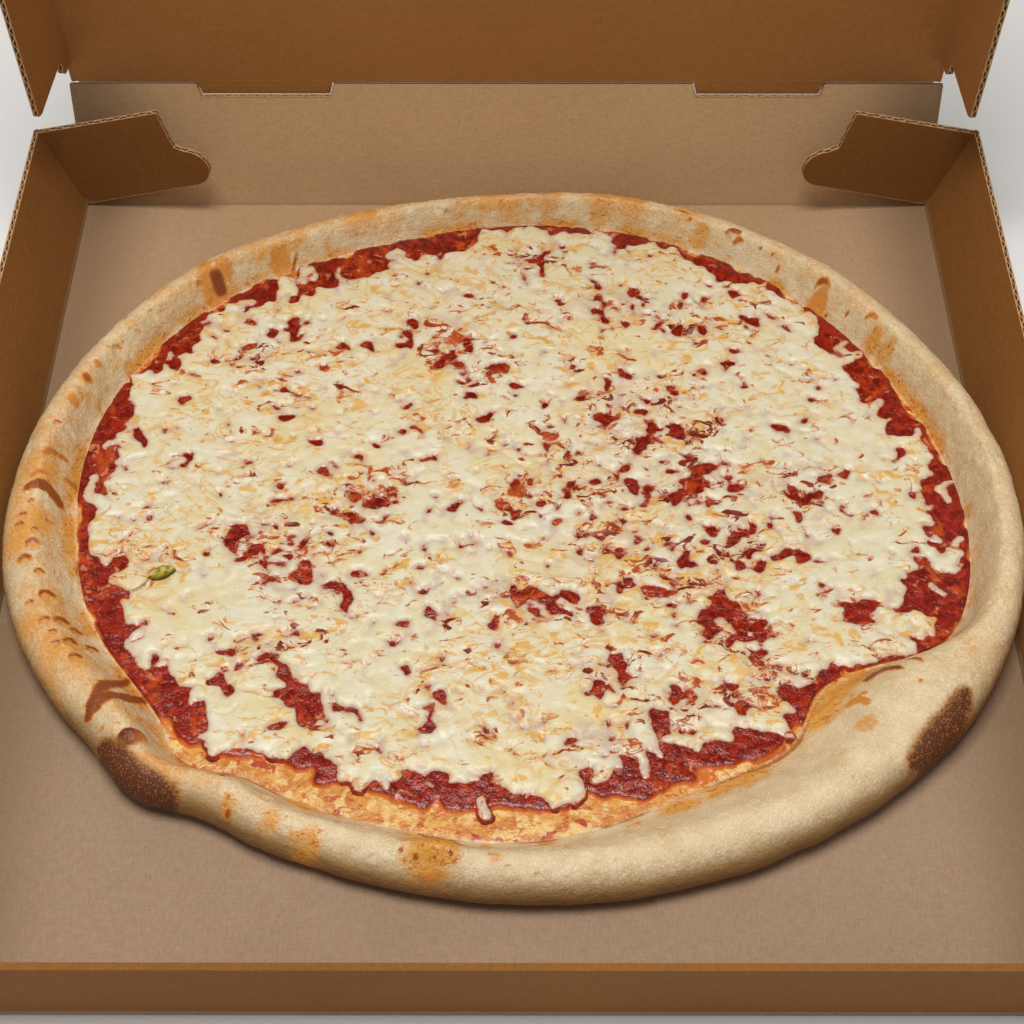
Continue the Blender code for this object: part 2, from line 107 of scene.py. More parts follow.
FLOOR_HALF = 3.0
FLOOR_GAP = 0.0004
corner_signs = ((-1, -1), (1, -1), (1, 1), (-1, 1))
floor_mesh = bpy.data.meshes.new("studio_floor")
floor_mesh.from_pydata([(x * FLOOR_HALF, y * FLOOR_HALF, 0.0) for x, y in corner_signs], [], [(0, 1, 2, 3)])
studio_floor = bpy.data.objects.new("studio_floor", floor_mesh)
studio_floor.location = (0.0, 0.0, -FLOOR_GAP)
scene.collection.objects.link(studio_floor)

# %% [markdown]
# Materials are written as sums. The small class below wraps one socket of a shader tree: adding or
# multiplying two of them adds a Math node, and one method adds any other node, with its settings first and
# its sockets after.


# %% A socket that can be added and multiplied
class Wire:
    """One socket of a shader tree, with the operators that a mask needs."""

    def __init__(self, socket):
        self.socket = socket

    def node(self, kind, settings=None, links=None, out=0):
        """Adds a node: its settings, then a value or a Wire for each socket by name or number."""
        node = self.socket.id_data.nodes.new(kind)
        for key, value in (settings or {}).items():
            setattr(node, key, value)
        for key, value in (links or {}).items():
            if isinstance(value, Wire):
                node.id_data.links.new(value.socket, node.inputs[key])
            else:
                node.inputs[key].default_value = value
        return Wire(node.outputs[out])

    def maths(self, operation, *values):
        """A Math node over values and Wires."""
        return self.node("ShaderNodeMath", {"operation": operation}, dict(enumerate(values)))

    def __add__(self, other):
        return self.maths("ADD", self, other)

    def __sub__(self, other):
        return self.maths("SUBTRACT", self, other)

    def __rsub__(self, other):
        return self.maths("SUBTRACT", other, self)

    def __mul__(self, other):
        return self.maths("MULTIPLY", self, other)

    __radd__ = __add__
    __rmul__ = __mul__

    def __abs__(self):
        return self.maths("ABSOLUTE", self)

    def larger(self, other):
        """The larger of this value and another."""
        return self.maths("MAXIMUM", self, other)

    def axis(self, index):
        """One coordinate of this vector: 0 for x, 1 for y and 2 for z."""
        return self.node("ShaderNodeSeparateXYZ", None, {0: self}, out=index)

    def step(self, low, high):
        """0 below low, 1 above high, and a smooth step between; low may be the larger."""
        return self.node("ShaderNodeMapRange", {"interpolation_type": "SMOOTHSTEP"},
                         {"Value": self, "From Min": low, "From Max": high})

    def mix(self, first, second):
        """A colour between two others, with this value as the share of the second."""
        links = {0: self, 6: opaque(first), 7: opaque(second)}
        return self.node("ShaderNodeMix", {"data_type": "RGBA"}, links, out=2)

    def noise(self, scale, detail=2.0, rough=0.5, warp=0.0):
        """Smooth noise from 0 to 1, at this many cells a metre."""
        return self.node("ShaderNodeTexNoise", None, {"Vector": self, "Scale": scale, "Detail": detail,
                                                      "Roughness": rough, "Distortion": warp})

    def cells(self, scale):
        """Distance to the nearest of many scattered points, at this many cells a metre."""
        return self.node("ShaderNodeTexVoronoi", None, {"Vector": self, "Scale": scale})

    def stretch(self, scale, turn=0.0):
        """This vector scaled along its axes and turned about z."""
        links = {"Vector": self, "Rotation": (0.0, 0.0, turn), "Scale": scale}
        return self.node("ShaderNodeMapping", None, links)

    def bump(self, depth, strength):
        """A normal bent by this height, whose full range is a depth in metres."""
        return self.node("ShaderNodeBump", None, {"Height": self, "Distance": depth, "Strength": strength})


def opaque(colour):
    """A colour as four numbers; a Wire passes through."""
    return colour if isinstance(colour, Wire) else (*colour, 1.0)


def start_material(name, **constants):
    """A new material with its shader's constant sockets set, and a Wire of its Object coordinates."""
    material = bpy.data.materials.new(name)
    material.use_nodes = True
    tree = material.node_tree
    shader = tree.nodes["Principled BSDF"]
    for key, value in constants.items():
        shader.inputs[key.replace("_", " ")].default_value = value
    place = Wire(tree.nodes.new("ShaderNodeTexCoord").outputs["Object"])
    return material, place


def finish_material(material, **sockets):
    """Links Wires to the shader's sockets."""
    shader = material.node_tree.nodes["Principled BSDF"]
    for key, wire in sockets.items():
        material.node_tree.links.new(wire.socket, shader.inputs[key.replace("_", " ")])
    return material


def attribute(place, name):
    """The value that a piece's mesh stores at each point under this name."""
    return place.node("ShaderNodeAttribute", {"attribute_name": name}, out=2)


def srgb(*levels):
    """A colour given as it looks on a screen, from 0 to 255, in the linear values that shaders use."""
    return tuple(((v / 255 + 0.055) / 1.055) ** 2.4 if v > 10 else v / 255 / 12.92 for v in levels)


def shades(mask, first, second):
    """A colour between two screen colours, by a mask."""
    return mask.mix(srgb(*first), srgb(*second))


def paint(base, coats):
    """Coats over a base in turn: a value, its step's two levels, a screen colour and, at will, a share."""
    for value, low, high, colour, *share in coats:
        mask = value.step(low, high)
        if share:
            mask = mask * share[0]
        base = mask.mix(base, srgb(*colour))
    return base


print("shader helpers ready")

# %% [markdown]
# Every uneven thing on a pizza comes from a little noise. Here it is a table of random numbers on a
# lattice, blended smoothly between its points, so any place in space has one value and every run gives the
# same pizza.

# %% Noise for shapes
LATTICE = 64
SEED_STEP = 17.37
FAR_CORNER = 1000.0
OCTAVE_SUM = 1.6
lattice_rng = np.random.default_rng(7)
lattice_values = lattice_rng.uniform(-1.0, 1.0, (LATTICE, LATTICE, LATTICE))


def lattice_noise(points, cell, shift=0):
    """Noise from -1 to 1 at each point: the eight corners of its lattice cell, blended by a smooth fade.

    The fade is 6 t^5 - 15 t^4 + 10 t^3, with t the part of the cell passed along each axis.
    """
    scaled = points / cell + SEED_STEP * shift + FAR_CORNER
    corner = np.floor(scaled).astype(int)
    part = scaled - corner
    fade = part * part * part * (part * (part * 6 - 15) + 10)
    total = np.zeros(points.shape[:-1])
    for dx in (0, 1):
        wx = fade[..., 0] if dx else 1 - fade[..., 0]
        for dy in (0, 1):
            wy = fade[..., 1] if dy else 1 - fade[..., 1]
            for dz in (0, 1):
                wz = fade[..., 2] if dz else 1 - fade[..., 2]
                ix, iy, iz = [(corner[..., k] + d) % LATTICE for k, d in enumerate((dx, dy, dz))]
                total += wx * wy * wz * lattice_values[ix, iy, iz]
    return total


def rough_noise(points, cell, octaves, shift=0):
    """Noise at several sizes, each half as large and half as strong as the last, from about -1 to 1."""
    total = np.zeros(points.shape[:-1])
    for octave in range(octaves):
        total += lattice_noise(points, cell / 2 ** octave, shift + octave) / 2 ** octave
    return total / OCTAVE_SUM


def smooth(values, low, high):
    """0 below low, 1 above high, and a smooth step between."""
    t = np.clip((values - low) / (high - low), 0.0, 1.0)
    return t * t * (3 - 2 * t)


print("noise lattice:", lattice_values.shape)

# %% [markdown]
# The dough's outline is a hand-stretched circle. Its radius is a mean, a few whole-number waves and some
# local lobes, and the rim's width, height and fullness change round it in the same way. The plain solids
# follow these same numbers, so the fine surfaces lie where the solids are.

# %% The pizza's outline
BOARD = 2.6 * MM
FOLD_HALF = 203.9 * MM
SIDE_LEAN = math.radians(18.5)
PIZZA_Y = 12.0 * MM
PIZZA_BASE = BOARD + 0.3 * MM
OUTLINE_RADIUS = 194.9
OUTLINE_WAVES = ((1, 3.9, 24.6), (2, 12.9, -5.4), (3, 2.1, -138.5), (4, 0.7, -121), (5, 1.5, -67))
OUTLINE_LOBES = ((225, 5, 5.5), (233, 5, -2), (329, 7, 1))
RIM_WIDTH = 20.0
RIM_WIDTH_LOBES = (
    (88, 22, -5), (190, 20, 9), (212, 12, 7), (250, 30, 5), (303, 24, 20), (325, 9, 24), (332, 5, 6))
RIM_HEIGHT = 19.5
RIM_HEIGHT_LOBES = ((90, 45, -1.5), (185, 35, 1.5), (0, 35, 5), (325, 14, 3), (222, 12, 2))
RIM_WIDEST = 8.5
RIM_WIDEST_LOBES = ((185, 40, 3), (0, 38, 8.5))
BED = 4.8
RIM_BUMPS = ((132, -74, 16, 5.0), (-139, -100, 11, 3.0), (-150, -73, 8, 3.2), (-23, -151, 6.5, 4.4),
             (-190, 30, 7, 2.2), (-132, 147, 8, 2.0), (160, -86, 12, 2.0), (148, 138, 8, 1.6),
             (146, -72, 7, 5.0))
SLOPE_LOBES = ((331, 9, 0.8),)


def lobes(angle, table):
    """Sum of smooth humps round the pizza, each with a middle and a spread in degrees and a height."""
    degrees = np.degrees(angle)
    total = np.zeros_like(degrees)
    for middle, spread, height in table:
        turn = (degrees - middle + 180.0) % 360.0 - 180.0
        total += height * np.exp(-(turn / spread) ** 2)
    return total


def pizza_radius(angle):
    """Outer radius of the rim, in millimetres."""
    radius = np.full_like(angle, OUTLINE_RADIUS)
    for count, height, phase in OUTLINE_WAVES:
        radius += height * np.cos(count * angle - math.radians(phase))
    return radius + lobes(angle, OUTLINE_LOBES)


def rim_width(angle):
    """Width of the rim from its outer edge to the flat bed, in millimetres."""
    return RIM_WIDTH + lobes(angle, RIM_WIDTH_LOBES)


turn = np.linspace(0.0, 2 * math.pi, 361)
print("pizza radius from", pizza_radius(turn).min().round(1), "to", pizza_radius(turn).max().round(1), "mm")

# %% [markdown]
# A piece is a mesh filled from whole arrays. One helper turns a grid of points into faces and another closes
# a ring with a fan. A third makes the piece, stores values at its points for the material to read, and joins
# it to the body that carries it.


# %% Mesh helpers
def grid_faces(rows, columns, wrap):
    """Quads between neighbouring rows and columns of a grid; wrap joins the last column to the first."""
    across = columns if wrap else columns - 1
    i, j = np.meshgrid(np.arange(rows - 1), np.arange(across), indexing="ij")
    here = i * columns
    beside = (j + 1) % columns
    quads = np.stack([here + j, here + beside, here + columns + beside, here + columns + j], axis=-1)
    return quads.reshape(-1, 4)


def make_piece(name, points, quads, triangles, material, body, replaced=(), values=None):
    """A shaded mesh object from arrays of points and faces, riding on a body."""
    corners = np.concatenate([quads.ravel(), triangles.ravel()]).astype(np.int32)
    sizes = np.concatenate([np.full(len(quads), 4), np.full(len(triangles), 3)]).astype(np.int32)
    mesh = bpy.data.meshes.new(name)
    mesh.vertices.add(len(points))
    mesh.vertices.foreach_set("co", points.astype(np.float32).ravel())
    mesh.loops.add(len(corners))
    mesh.loops.foreach_set("vertex_index", corners)
    mesh.polygons.add(len(sizes))
    mesh.polygons.foreach_set("loop_start", np.concatenate([[0], np.cumsum(sizes)[:-1]]).astype(np.int32))
    mesh.update(calc_edges=True)
    mesh.validate()
    mesh.shade_smooth()
    for key, data in (values or {}).items():
        store = mesh.attributes.new(key, "FLOAT", "POINT")
        store.data.foreach_set("value", data.astype(np.float32).ravel())
    mesh.materials.append(material)
    piece = bpy.data.objects.new(name, mesh)
    scene.collection.objects.link(piece)
    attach(piece, body)
    if replaced:
        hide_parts(*replaced)
    print(name, "points", len(points), "triangles", 2 * len(quads) + len(triangles))
    return piece


def fan(ring_start, ring_size, middle, outward):
    """Triangles from a ring of points to a middle point; outward keeps the ring's order."""
    ring = ring_start + np.arange(ring_size)
    order = [ring, np.roll(ring, -1)] if outward else [np.roll(ring, -1), ring]
    return np.stack([*order, np.full(ring_size, middle)], axis=1)


def units(vectors):
    """An array of vectors, each at length 1."""
    return vectors / np.maximum(np.linalg.norm(vectors, axis=-1, keepdims=True), 1e-12)


print("mesh helpers ready")

# %% [markdown]
# Kraft board is brown paper glued over flutes. Its outside shows short fibres in lighter and darker tones,
# a fine grain along the machine direction, and faint bands where the flutes press through. A matt surface
# with a little bump is enough for the faces; the cut edges get real pieces further on. The walls and the lid
# get darker, browner tones than the floor as painted shade, the floor is darker next to the side walls as
# painted shade, and the back wall and the back of the floor get lighter tones as painted light.


# %% Kraft board
FLUTE_PITCH = 0.0066
BACK_LEAN = math.radians(15.75)
FLOOR_TONES = ((140, 115, 93), (168, 143, 118))
# Wall and lid tones are the floor's board made darker and browner: painted shade. Back tones are it made
# lighter: painted light.
WALL_SHADE_TONES = ((121, 77, 30), (147, 98, 48))
LID_SHADE_TONES = ((150, 100, 50), (176, 124, 70))
BACK_LIGHT_TONES = ((176, 140, 100), (204, 168, 126))
# Shares that darken the floor next to the side walls: painted shade.
FLOOR_SHADE_SHARES = (0.66, 0.60, 0.50)
PAPER = {"Roughness": 0.88, "Specular_IOR_Level": 0.22}


def scaled(colour, *shares):
    """A screen colour in linear values, times one share or a share for each channel."""
    return tuple(srgb(*colour) * np.array(shares))


def kraft_material(name, floor_tones, wall_tones, wall, back=None):
    """Brown liner in two pairs of tones, mixed by a mask of place: clouds, crossed fibres, specks and flutes.
    The wall tones are painted shade, the back tones painted light, and the floor next to the side walls is
    darkened as painted shade.

    The faint bands are a sine across the board; the relief adds the fibres to them.
    """
    material, place = start_material(name, **PAPER)
    mask = wall(place)
    clouds = place.noise(9.0, 3.0, 0.6)
    fibres = place.stretch((1100.0, 300.0, 700.0)).noise(1.0, 2.0, 0.6)
    cross = place.stretch((260.0, 1200.0, 700.0)).noise(1.0, 2.0, 0.6)
    dust = place.noise(2300.0, 1.0, 0.6)
    specks = place.noise(1500.0, 1.0, 0.5).step(0.66, 0.78)
    pale = place.noise(1000.0, 1.0, 0.5).step(0.68, 0.80)
    tone = (clouds - 0.5) * 0.5 + (fibres - 0.5) * 0.6 + (cross - 0.5) * 0.45 + (dust - 0.5) * 0.5 + 0.5
    share = tone.step(0.0, 1.0)
    floor = shades(share, *floor_tones)
    # Painted light: the back wall and the back of the floor take lighter tones.
    if back:
        floor = back(place).mix(floor, shades(share, *BACK_LIGHT_TONES))
    # Painted shade: the walls take the darker wall tones.
    base = mask.mix(floor, shades(share, *wall_tones))
    across = place.axis(0)
    # Painted shade: the floor darkens next to the side walls.
    beside = abs(across).step(0.158, 0.202) * (1 - mask)
    base = (beside * 0.75).mix(base, scaled(floor_tones[0], *FLOOR_SHADE_SHARES))
    dark = mask.mix(scaled(floor_tones[0], 0.45), scaled(wall_tones[0], 0.5))
    light = mask.mix(scaled(floor_tones[1], 1.25), scaled(wall_tones[1], 1.4))
    colour = (pale * 0.4).mix((specks * 0.5).mix(base, dark), light)
    bands = across.maths("SINE", across * (2 * math.pi / FLUTE_PITCH))
    relief = bands * 0.12 + fibres * 0.5 + cross * 0.4 + dust * 0.3
    return finish_material(material, Base_Color=colour, Normal=relief.bump(0.00025, 0.7))


def above_floor(place):
    """0 on the tray's floor and 1 on anything that stands on it."""
    return place.axis(2).step(0.0032, 0.0052)


def tray_wall(place):
    """1 on the tray's side walls, front wall and corner flaps, where the wall tones paint shade; 0 on its
    floor and back wall.
    """
    back = (place.axis(1) - place.axis(2) * math.tan(BACK_LEAN)).step(0.2000, 0.2018)
    return above_floor(place) * (1 - back)


def tray_back(place):
    """1 on the tray's back wall, falling to 0 across the back half of its floor: where the back tones paint
    light.
    """
    return place.axis(1).step(-0.06, 0.26) * 0.65 + above_floor(place) * 0.35


def lid_wall(place):
    """1 all over the lid, which has one pair of tones."""
    return place.axis(2).step(-2.0, -1.0)


tray_kraft = kraft_material("kraft_tray", FLOOR_TONES, WALL_SHADE_TONES, tray_wall, tray_back)
# Painted shade: the lid takes darker, browner tones than the floor.
lid_kraft = kraft_material("kraft_lid", LID_SHADE_TONES, LID_SHADE_TONES, lid_wall)
for node_name, material in (("tray", tray_kraft), ("lid", lid_kraft)):
    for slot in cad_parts[node_name].material_slots:
        slot.material = material
print("kraft board on tray and lid")

# %% [markdown]
# A cut edge of corrugated board shows its build: two liners and, between them, a paper wave round deep
# hollows, which are painted dark brown as painted shade. Each edge is a thin strip laid over the board's flat
# edge. Its section is a closed loop, and a sine decides where across the board the wave stands at each place
# along the edge.

# %% Cut edges: one strip
SIDE_WALL = 48.5 * MM
BACK_WALL = 64.8 * MM
FLAP_TURN = math.radians(6.0)
LINER = 0.48 * MM
EDGE_PROUD = 0.15 * MM
EDGE_SUNK = 0.1 * MM
EDGE_STEP = 0.45 * MM
EDGE_ACROSS = 13
EDGE_SPARE = 0.02 * MM
WAVE_SHARE = 0.86
PAPER_HALF = 0.16 * MM
PAPER_SOFT = 0.40 * MM
HOLLOW_FLOOR = 0.15
back_up = np.array([0.0, math.sin(BACK_LEAN), math.cos(BACK_LEAN)])
back_fold = np.array([0.0, FOLD_HALF, BOARD / 2])
hinge = back_fold + back_up * BACK_WALL


def along_line(line):
    """Evenly spaced places along a polyline, and the unit direction to its right at each, soft at corners."""
    line = np.array(line, dtype=float) * MM
    lengths = np.concatenate([[0.0], np.cumsum(np.hypot(*np.diff(line, axis=0).T))])
    run = np.linspace(0.0, lengths[-1], max(3, int(lengths[-1] / EDGE_STEP)))
    places = np.stack([np.interp(run, lengths, line[:, 0]), np.interp(run, lengths, line[:, 1])], axis=1)
    direction = units(np.gradient(places, axis=0))
    return run, places, np.stack([direction[:, 1], -direction[:, 0]], axis=1)


def edge_strip(line, origin, u_axis, v_axis, proud=EDGE_PROUD):
    """A strip over a board's cut edge, from a polyline in the panel's two axes with the board on its left.

    Rows follow the edge; each row is a loop across the board, raised on both liners and on the wave.
    """
    run, places, outward = along_line(line)
    u_axis = units(np.array(u_axis, dtype=float))
    v_axis = units(np.array(v_axis, dtype=float))
    through = np.cross(u_axis, v_axis)
    half_core = BOARD / 2 - LINER
    across = np.linspace(BOARD / 2 + EDGE_SPARE, -BOARD / 2 - EDGE_SPARE, EDGE_ACROSS)
    wave = half_core * WAVE_SHARE * np.sin(run / (FLUTE_PITCH / 2 / math.pi))
    liner = smooth(np.abs(across), half_core - 0.1 * MM, half_core)[None, :]
    paper = 1 - smooth(np.abs(across[None, :] - wave[:, None]), PAPER_HALF, PAPER_SOFT)
    solid = np.maximum(liner, paper)
    height = proud * (HOLLOW_FLOOR + (1 - HOLLOW_FLOOR) * solid)
    across = np.concatenate([across, across[::-1][[0, -1]]])
    height = np.concatenate([height, np.full((len(run), 2), -EDGE_SUNK)], axis=1)
    flat = places[:, None, :] + outward[:, None, :] * height[..., None]
    points = origin + flat[..., :1] * u_axis + flat[..., 1:] * v_axis + across[None, :, None] * through
    # The share of each point that lies in a flute hollow, which the material paints dark as painted shade.
    flute_shade = np.concatenate([1 - solid, np.zeros((len(run), 2))], axis=1)
    return points, flute_shade


def strips_piece(name, strips, material, body):
    """One mesh of several strips, each closed at both ends by a fan."""
    points, hollows, quads, triangles = [], [], [], []
    start = 0
    for strip, flute_shade in strips:
        rows, columns = strip.shape[:2]
        last = start + (rows - 1) * columns
        middle = start + rows * columns
        quads.append(grid_faces(rows, columns, True) + start)
        triangles += [fan(start, columns, middle, False), fan(last, columns, middle + 1, True)]
        points += [strip.reshape(-1, 3), strip[0].mean(axis=0)[None], strip[-1].mean(axis=0)[None]]
        hollows += [flute_shade.ravel(), [0.0, 0.0]]
        start = middle + 2
    make_piece(name, np.concatenate(points), np.concatenate(quads), np.concatenate(triangles),
               material, body, (), {"flute_shade": np.concatenate(hollows)})


def cut_edge_material():
    """Pale torn paper on the liners and the wave, and a deep brown painted shade in the hollows between them.
    """
    material, place = start_material("kraft_cut_edge", Roughness=0.92, Specular_IOR_Level=0.15)
    flute_shade = attribute(place, "flute_shade")
    fuzz = place.noise(1500.0, 2.0, 0.6)
    paper = shades(fuzz.step(0.3, 0.7), (160, 118, 76), (206, 168, 124))
    # Painted shade: deep brown in the flute hollows.
    colour = paint(paper, [(flute_shade + (fuzz - 0.5) * 0.5, 0.3, 1.0, (62, 38, 20))])
    return finish_material(material, Base_Color=colour, Normal=fuzz.bump(0.0003, 0.6))


print("edge helpers ready")

# %% [markdown]
# The strips follow the outlines of the panels: side wall tops, the rear corner flaps with round lobes, the
# short front tabs, the notches round the lid's tabs, and the three flaps of the lid.


# %% Cut edges of tray and lid
def arc_points(centre, radius, first, last, steps):
    """Points along an arc, its angles in degrees."""
    angles = np.radians(np.linspace(first, last, steps + 1))
    return [(centre[0] + radius * math.cos(t), centre[1] + radius * math.sin(t)) for t in angles]


WALL_TOP = SIDE_WALL / MM
WALL_REACH = 203.2
FLAP_EDGE = [(3.0, 2.2), *arc_points((61.0, 11.5), 10.5, -90.0, 72.0, 12), (60.5, 25.0), (62.0, 45.7),
             (1.5, 48.2)]
TAB_EDGE = [(3.0, 2.2), (22.0, 2.2), (22.0, 43.5), (1.5, 48.2)]
LID_TABS = ((-144.0, -80.5), (87.0, 148.0))
LID_FLAP_EDGE = [(420.8, 2.0), (420.8, 41.0), (416.8, 45.0), (19.0, 45.0), (17.6, 41.5), (18.6, 33.0),
                 (19.9, 20.0), (20.6, 13.0), (19.8, 11.2), *arc_points((15.0, 7.5), 3.5, 60.0, 170.0, 6),
                 (11.5, 2.0)]
tray_strips = []
for side in (-1, 1):
    up = (side * math.sin(SIDE_LEAN), 0.0, math.cos(SIDE_LEAN))
    middle = (side * FOLD_HALF, 0.0, BOARD / 2)
    tray_strips.append(edge_strip([(WALL_REACH, WALL_TOP), (-WALL_REACH, WALL_TOP)], middle, (0, 1, 0), up))
    for end, line in ((1, FLAP_EDGE), (-1, TAB_EDGE)):
        along = (-side * math.cos(SIDE_LEAN) * math.cos(FLAP_TURN),
                 -end * math.sin(FLAP_TURN),
                 math.sin(SIDE_LEAN) * math.cos(FLAP_TURN))
        corner = (side * FOLD_HALF, end * FOLD_HALF, BOARD / 2)
        tray_strips.append(edge_strip(line, corner, along, up))
NOTCH_PROUD = 0.45 * MM
NOTCH_TOP = 62.7
NOTCH_FLOOR = 56.5
for low, high in LID_TABS:
    notch = [(high + 0.6, NOTCH_TOP), (high - 1.4, NOTCH_FLOOR),
             (low + 1.4, NOTCH_FLOOR), (low - 0.6, NOTCH_TOP)]
    tray_strips.append(edge_strip(notch, back_fold, (1, 0, 0), back_up, NOTCH_PROUD))

LID_LEAN = math.radians(4.2)
LID_HALF = 201.1 * MM
LID_LENGTH = 424.0 * MM
FRONT_FLAP_SPLAY = math.radians(5.0)
lid_up = np.array([0.0, -math.sin(LID_LEAN), math.cos(LID_LEAN)])
lid_out = np.array([0.0, -math.cos(LID_LEAN), -math.sin(LID_LEAN)])
lid_strips = []
for side, splay in ((-1, math.radians(8.5)), (1, math.radians(7.0))):
    across = lid_out * math.cos(splay) + np.array([side * math.sin(splay), 0.0, 0.0])
    root = hinge + np.array([side * LID_HALF, 0.0, 0.0])
    lid_strips.append(edge_strip(LID_FLAP_EDGE, root, lid_up, across))
down = lid_out * math.cos(FRONT_FLAP_SPLAY) + lid_up * math.sin(FRONT_FLAP_SPLAY)
FRONT_FLAP_EDGE = [(199.0, 2.0), (191.1, 40.0), (-191.1, 40.0), (-199.0, 2.0)]
lid_strips.append(edge_strip(FRONT_FLAP_EDGE, hinge + lid_up * LID_LENGTH, (1, 0, 0), down))
cut_edge = cut_edge_material()
strips_piece("tray_cut_edges", tray_strips, cut_edge, "tray")
strips_piece("lid_cut_edges", lid_strips, cut_edge, "lid")

# %% [markdown]
# Dough first. The surface runs from the middle of the bed, up the inner slope, over the crown, down the
# outer flank and under. It is a grid: one way round the pizza, the other way across the rim's section, made
# of two quarter ellipses and a half cosine. Bubbles, blisters, fine lumps and pleats then push it along its
# own normal.

# %% Rim section
ROUND_STEPS = 1260
FOOT_STEPS = 9
FLANK_STEPS = 20
SLOPE_STEPS = 30
BED_STEPS = 16
FOOT_REACH = 8.0
BED_REACH = 30.0
CROWN_SHARE = 0.45
CROWN_MOST = 13.0
RIM_RIPPLES = ((5, 0.6, 0.8), (11, 0.4, 0.0))
WALL_CLEAR = 0.7


def plan_ring(angle, radius, height):
    """A ring of points round the pizza's middle, from a radius and a height in millimetres."""
    x = radius * np.cos(angle) * MM
    y = PIZZA_Y + radius * np.sin(angle) * MM
    return np.stack([x, y, PIZZA_BASE + height * MM], axis=-1)


def press_to_walls(points):
    """Holds points inside the leaning side walls, where the rim is pressed against them."""
    half_board = BOARD / 2
    face = FOLD_HALF - half_board / math.cos(SIDE_LEAN) + (points[..., 2] - half_board) * math.tan(SIDE_LEAN)
    limit = face - WALL_CLEAR * MM
    points[..., 0] = np.clip(points[..., 0], -limit, limit)
    return points


def rim_rows():
    """Rows of the dough's surface from the outer foot to the bed, and how far across the rim each row lies.

    The share is 0 at the foot, 1 at the widest line, 2 at the crown, 3 where the bed starts and 4 at its end.
    """
    angle = np.arange(ROUND_STEPS) * (2 * math.pi / ROUND_STEPS)
    radius = pizza_radius(angle)
    width = rim_width(angle)
    height = RIM_HEIGHT + lobes(angle, RIM_HEIGHT_LOBES)
    for count, ripple, phase in RIM_RIPPLES:
        height = height + ripple * np.sin(count * angle + phase)
    widest = RIM_WIDEST + lobes(angle, RIM_WIDEST_LOBES)
    crown = np.minimum(CROWN_SHARE * width, CROWN_MOST)
    bend = 1 + lobes(angle, SLOPE_LOBES)
    foot, flank, slope = [np.arange(steps) / steps for steps in (FOOT_STEPS, FLANK_STEPS, SLOPE_STEPS)]
    floor = np.linspace(0.0, 1.0, BED_STEPS)
    turned = [(math.sin(t * math.pi / 2), math.cos(t * math.pi / 2)) for t in foot]
    rings = [(radius - FOOT_REACH + FOOT_REACH * sine, widest * (1 - cosine)) for sine, cosine in turned]
    turned = [(math.sin(t * math.pi / 2), math.cos(t * math.pi / 2)) for t in flank]
    rings += [(radius - crown + crown * cosine, widest + (height - widest) * sine) for sine, cosine in turned]
    rings += [(radius - crown - (width - crown) * t,
               BED + (height - BED) * (0.5 + 0.5 * np.cos(math.pi * t ** bend))) for t in slope]
    rings += [(radius - width - BED_REACH * t, np.full_like(angle, BED)) for t in floor]
    points = np.array([plan_ring(angle, *ring) for ring in rings])
    share = np.concatenate([foot, 1 + flank, 2 + slope, 3 + floor])
    return points, np.broadcast_to(share[:, None], points.shape[:2]), angle


def grid_normals(points):
    """Unit normals of a grid that closes on itself along its second axis, from its two tangents."""
    round_way = np.roll(points, -1, axis=1) - np.roll(points, 1, axis=1)
    across = np.gradient(points, axis=0)
    return units(np.cross(round_way, across))


rim_points, rim_share, rim_angle = rim_rows()
print("rim grid", rim_points.shape)

# %% [markdown]
# Oven heat marks the rim. Each mark is a soft spot, or a bowed stroke where a bubble burst and its lips
# toasted, given in plan. Noise tears every edge, and small burst blisters leave dimples down the left side.

# %% Marks in plan
plan = rim_points[..., :2] / MM
tear = rough_noise(rim_points, 5 * MM, 2, 31)
fine_tear = lattice_noise(rim_points, 1.6 * MM, 35)
SPOT_TEAR = 0.22
SPOT_FINE_TEAR = 0.06
STROKE_FINE_TEAR = 0.45
STROKE_SAMPLES = 26
STROKE_END = 0.15
FAR_AWAY = 99.0


def spot(x, y, reach, soft=0.6):
    """1 round a place in plan and 0 beyond its reach in millimetres, with an edge torn by noise."""
    away = np.hypot(plan[..., 0] - x, plan[..., 1] - y) / reach
    return 1 - smooth(away + SPOT_TEAR * tear + SPOT_FINE_TEAR * fine_tear, 1.0 - soft, 1.1)


def stroke(start, end, bend, half_width, soft=0.8):
    """1 within a half width, in millimetres, of a curve in plan that bows to its left and thins at both ends.

    The curve is a parabola: the line from start to end plus the bend times 4 t (1 - t) along the line's left.
    """
    run = np.array(end) - np.array(start)
    left = np.array([-run[1], run[0]]) / np.linalg.norm(run)
    away = np.full(plan.shape[:2], FAR_AWAY)
    for t in np.linspace(0.0, 1.0, STROKE_SAMPLES):
        bow = 4 * t * (1 - t)
        at = start + run * t + left * (bend * bow)
        reach = half_width * (STROKE_END + (1 - STROKE_END) * math.sqrt(bow))
        away = np.minimum(away, np.hypot(plan[..., 0] - at[0], plan[..., 1] - at[1]) - reach)
    return 1 - smooth(away + 0.5 * soft * tear + STROKE_FINE_TEAR * fine_tear, -soft, soft)


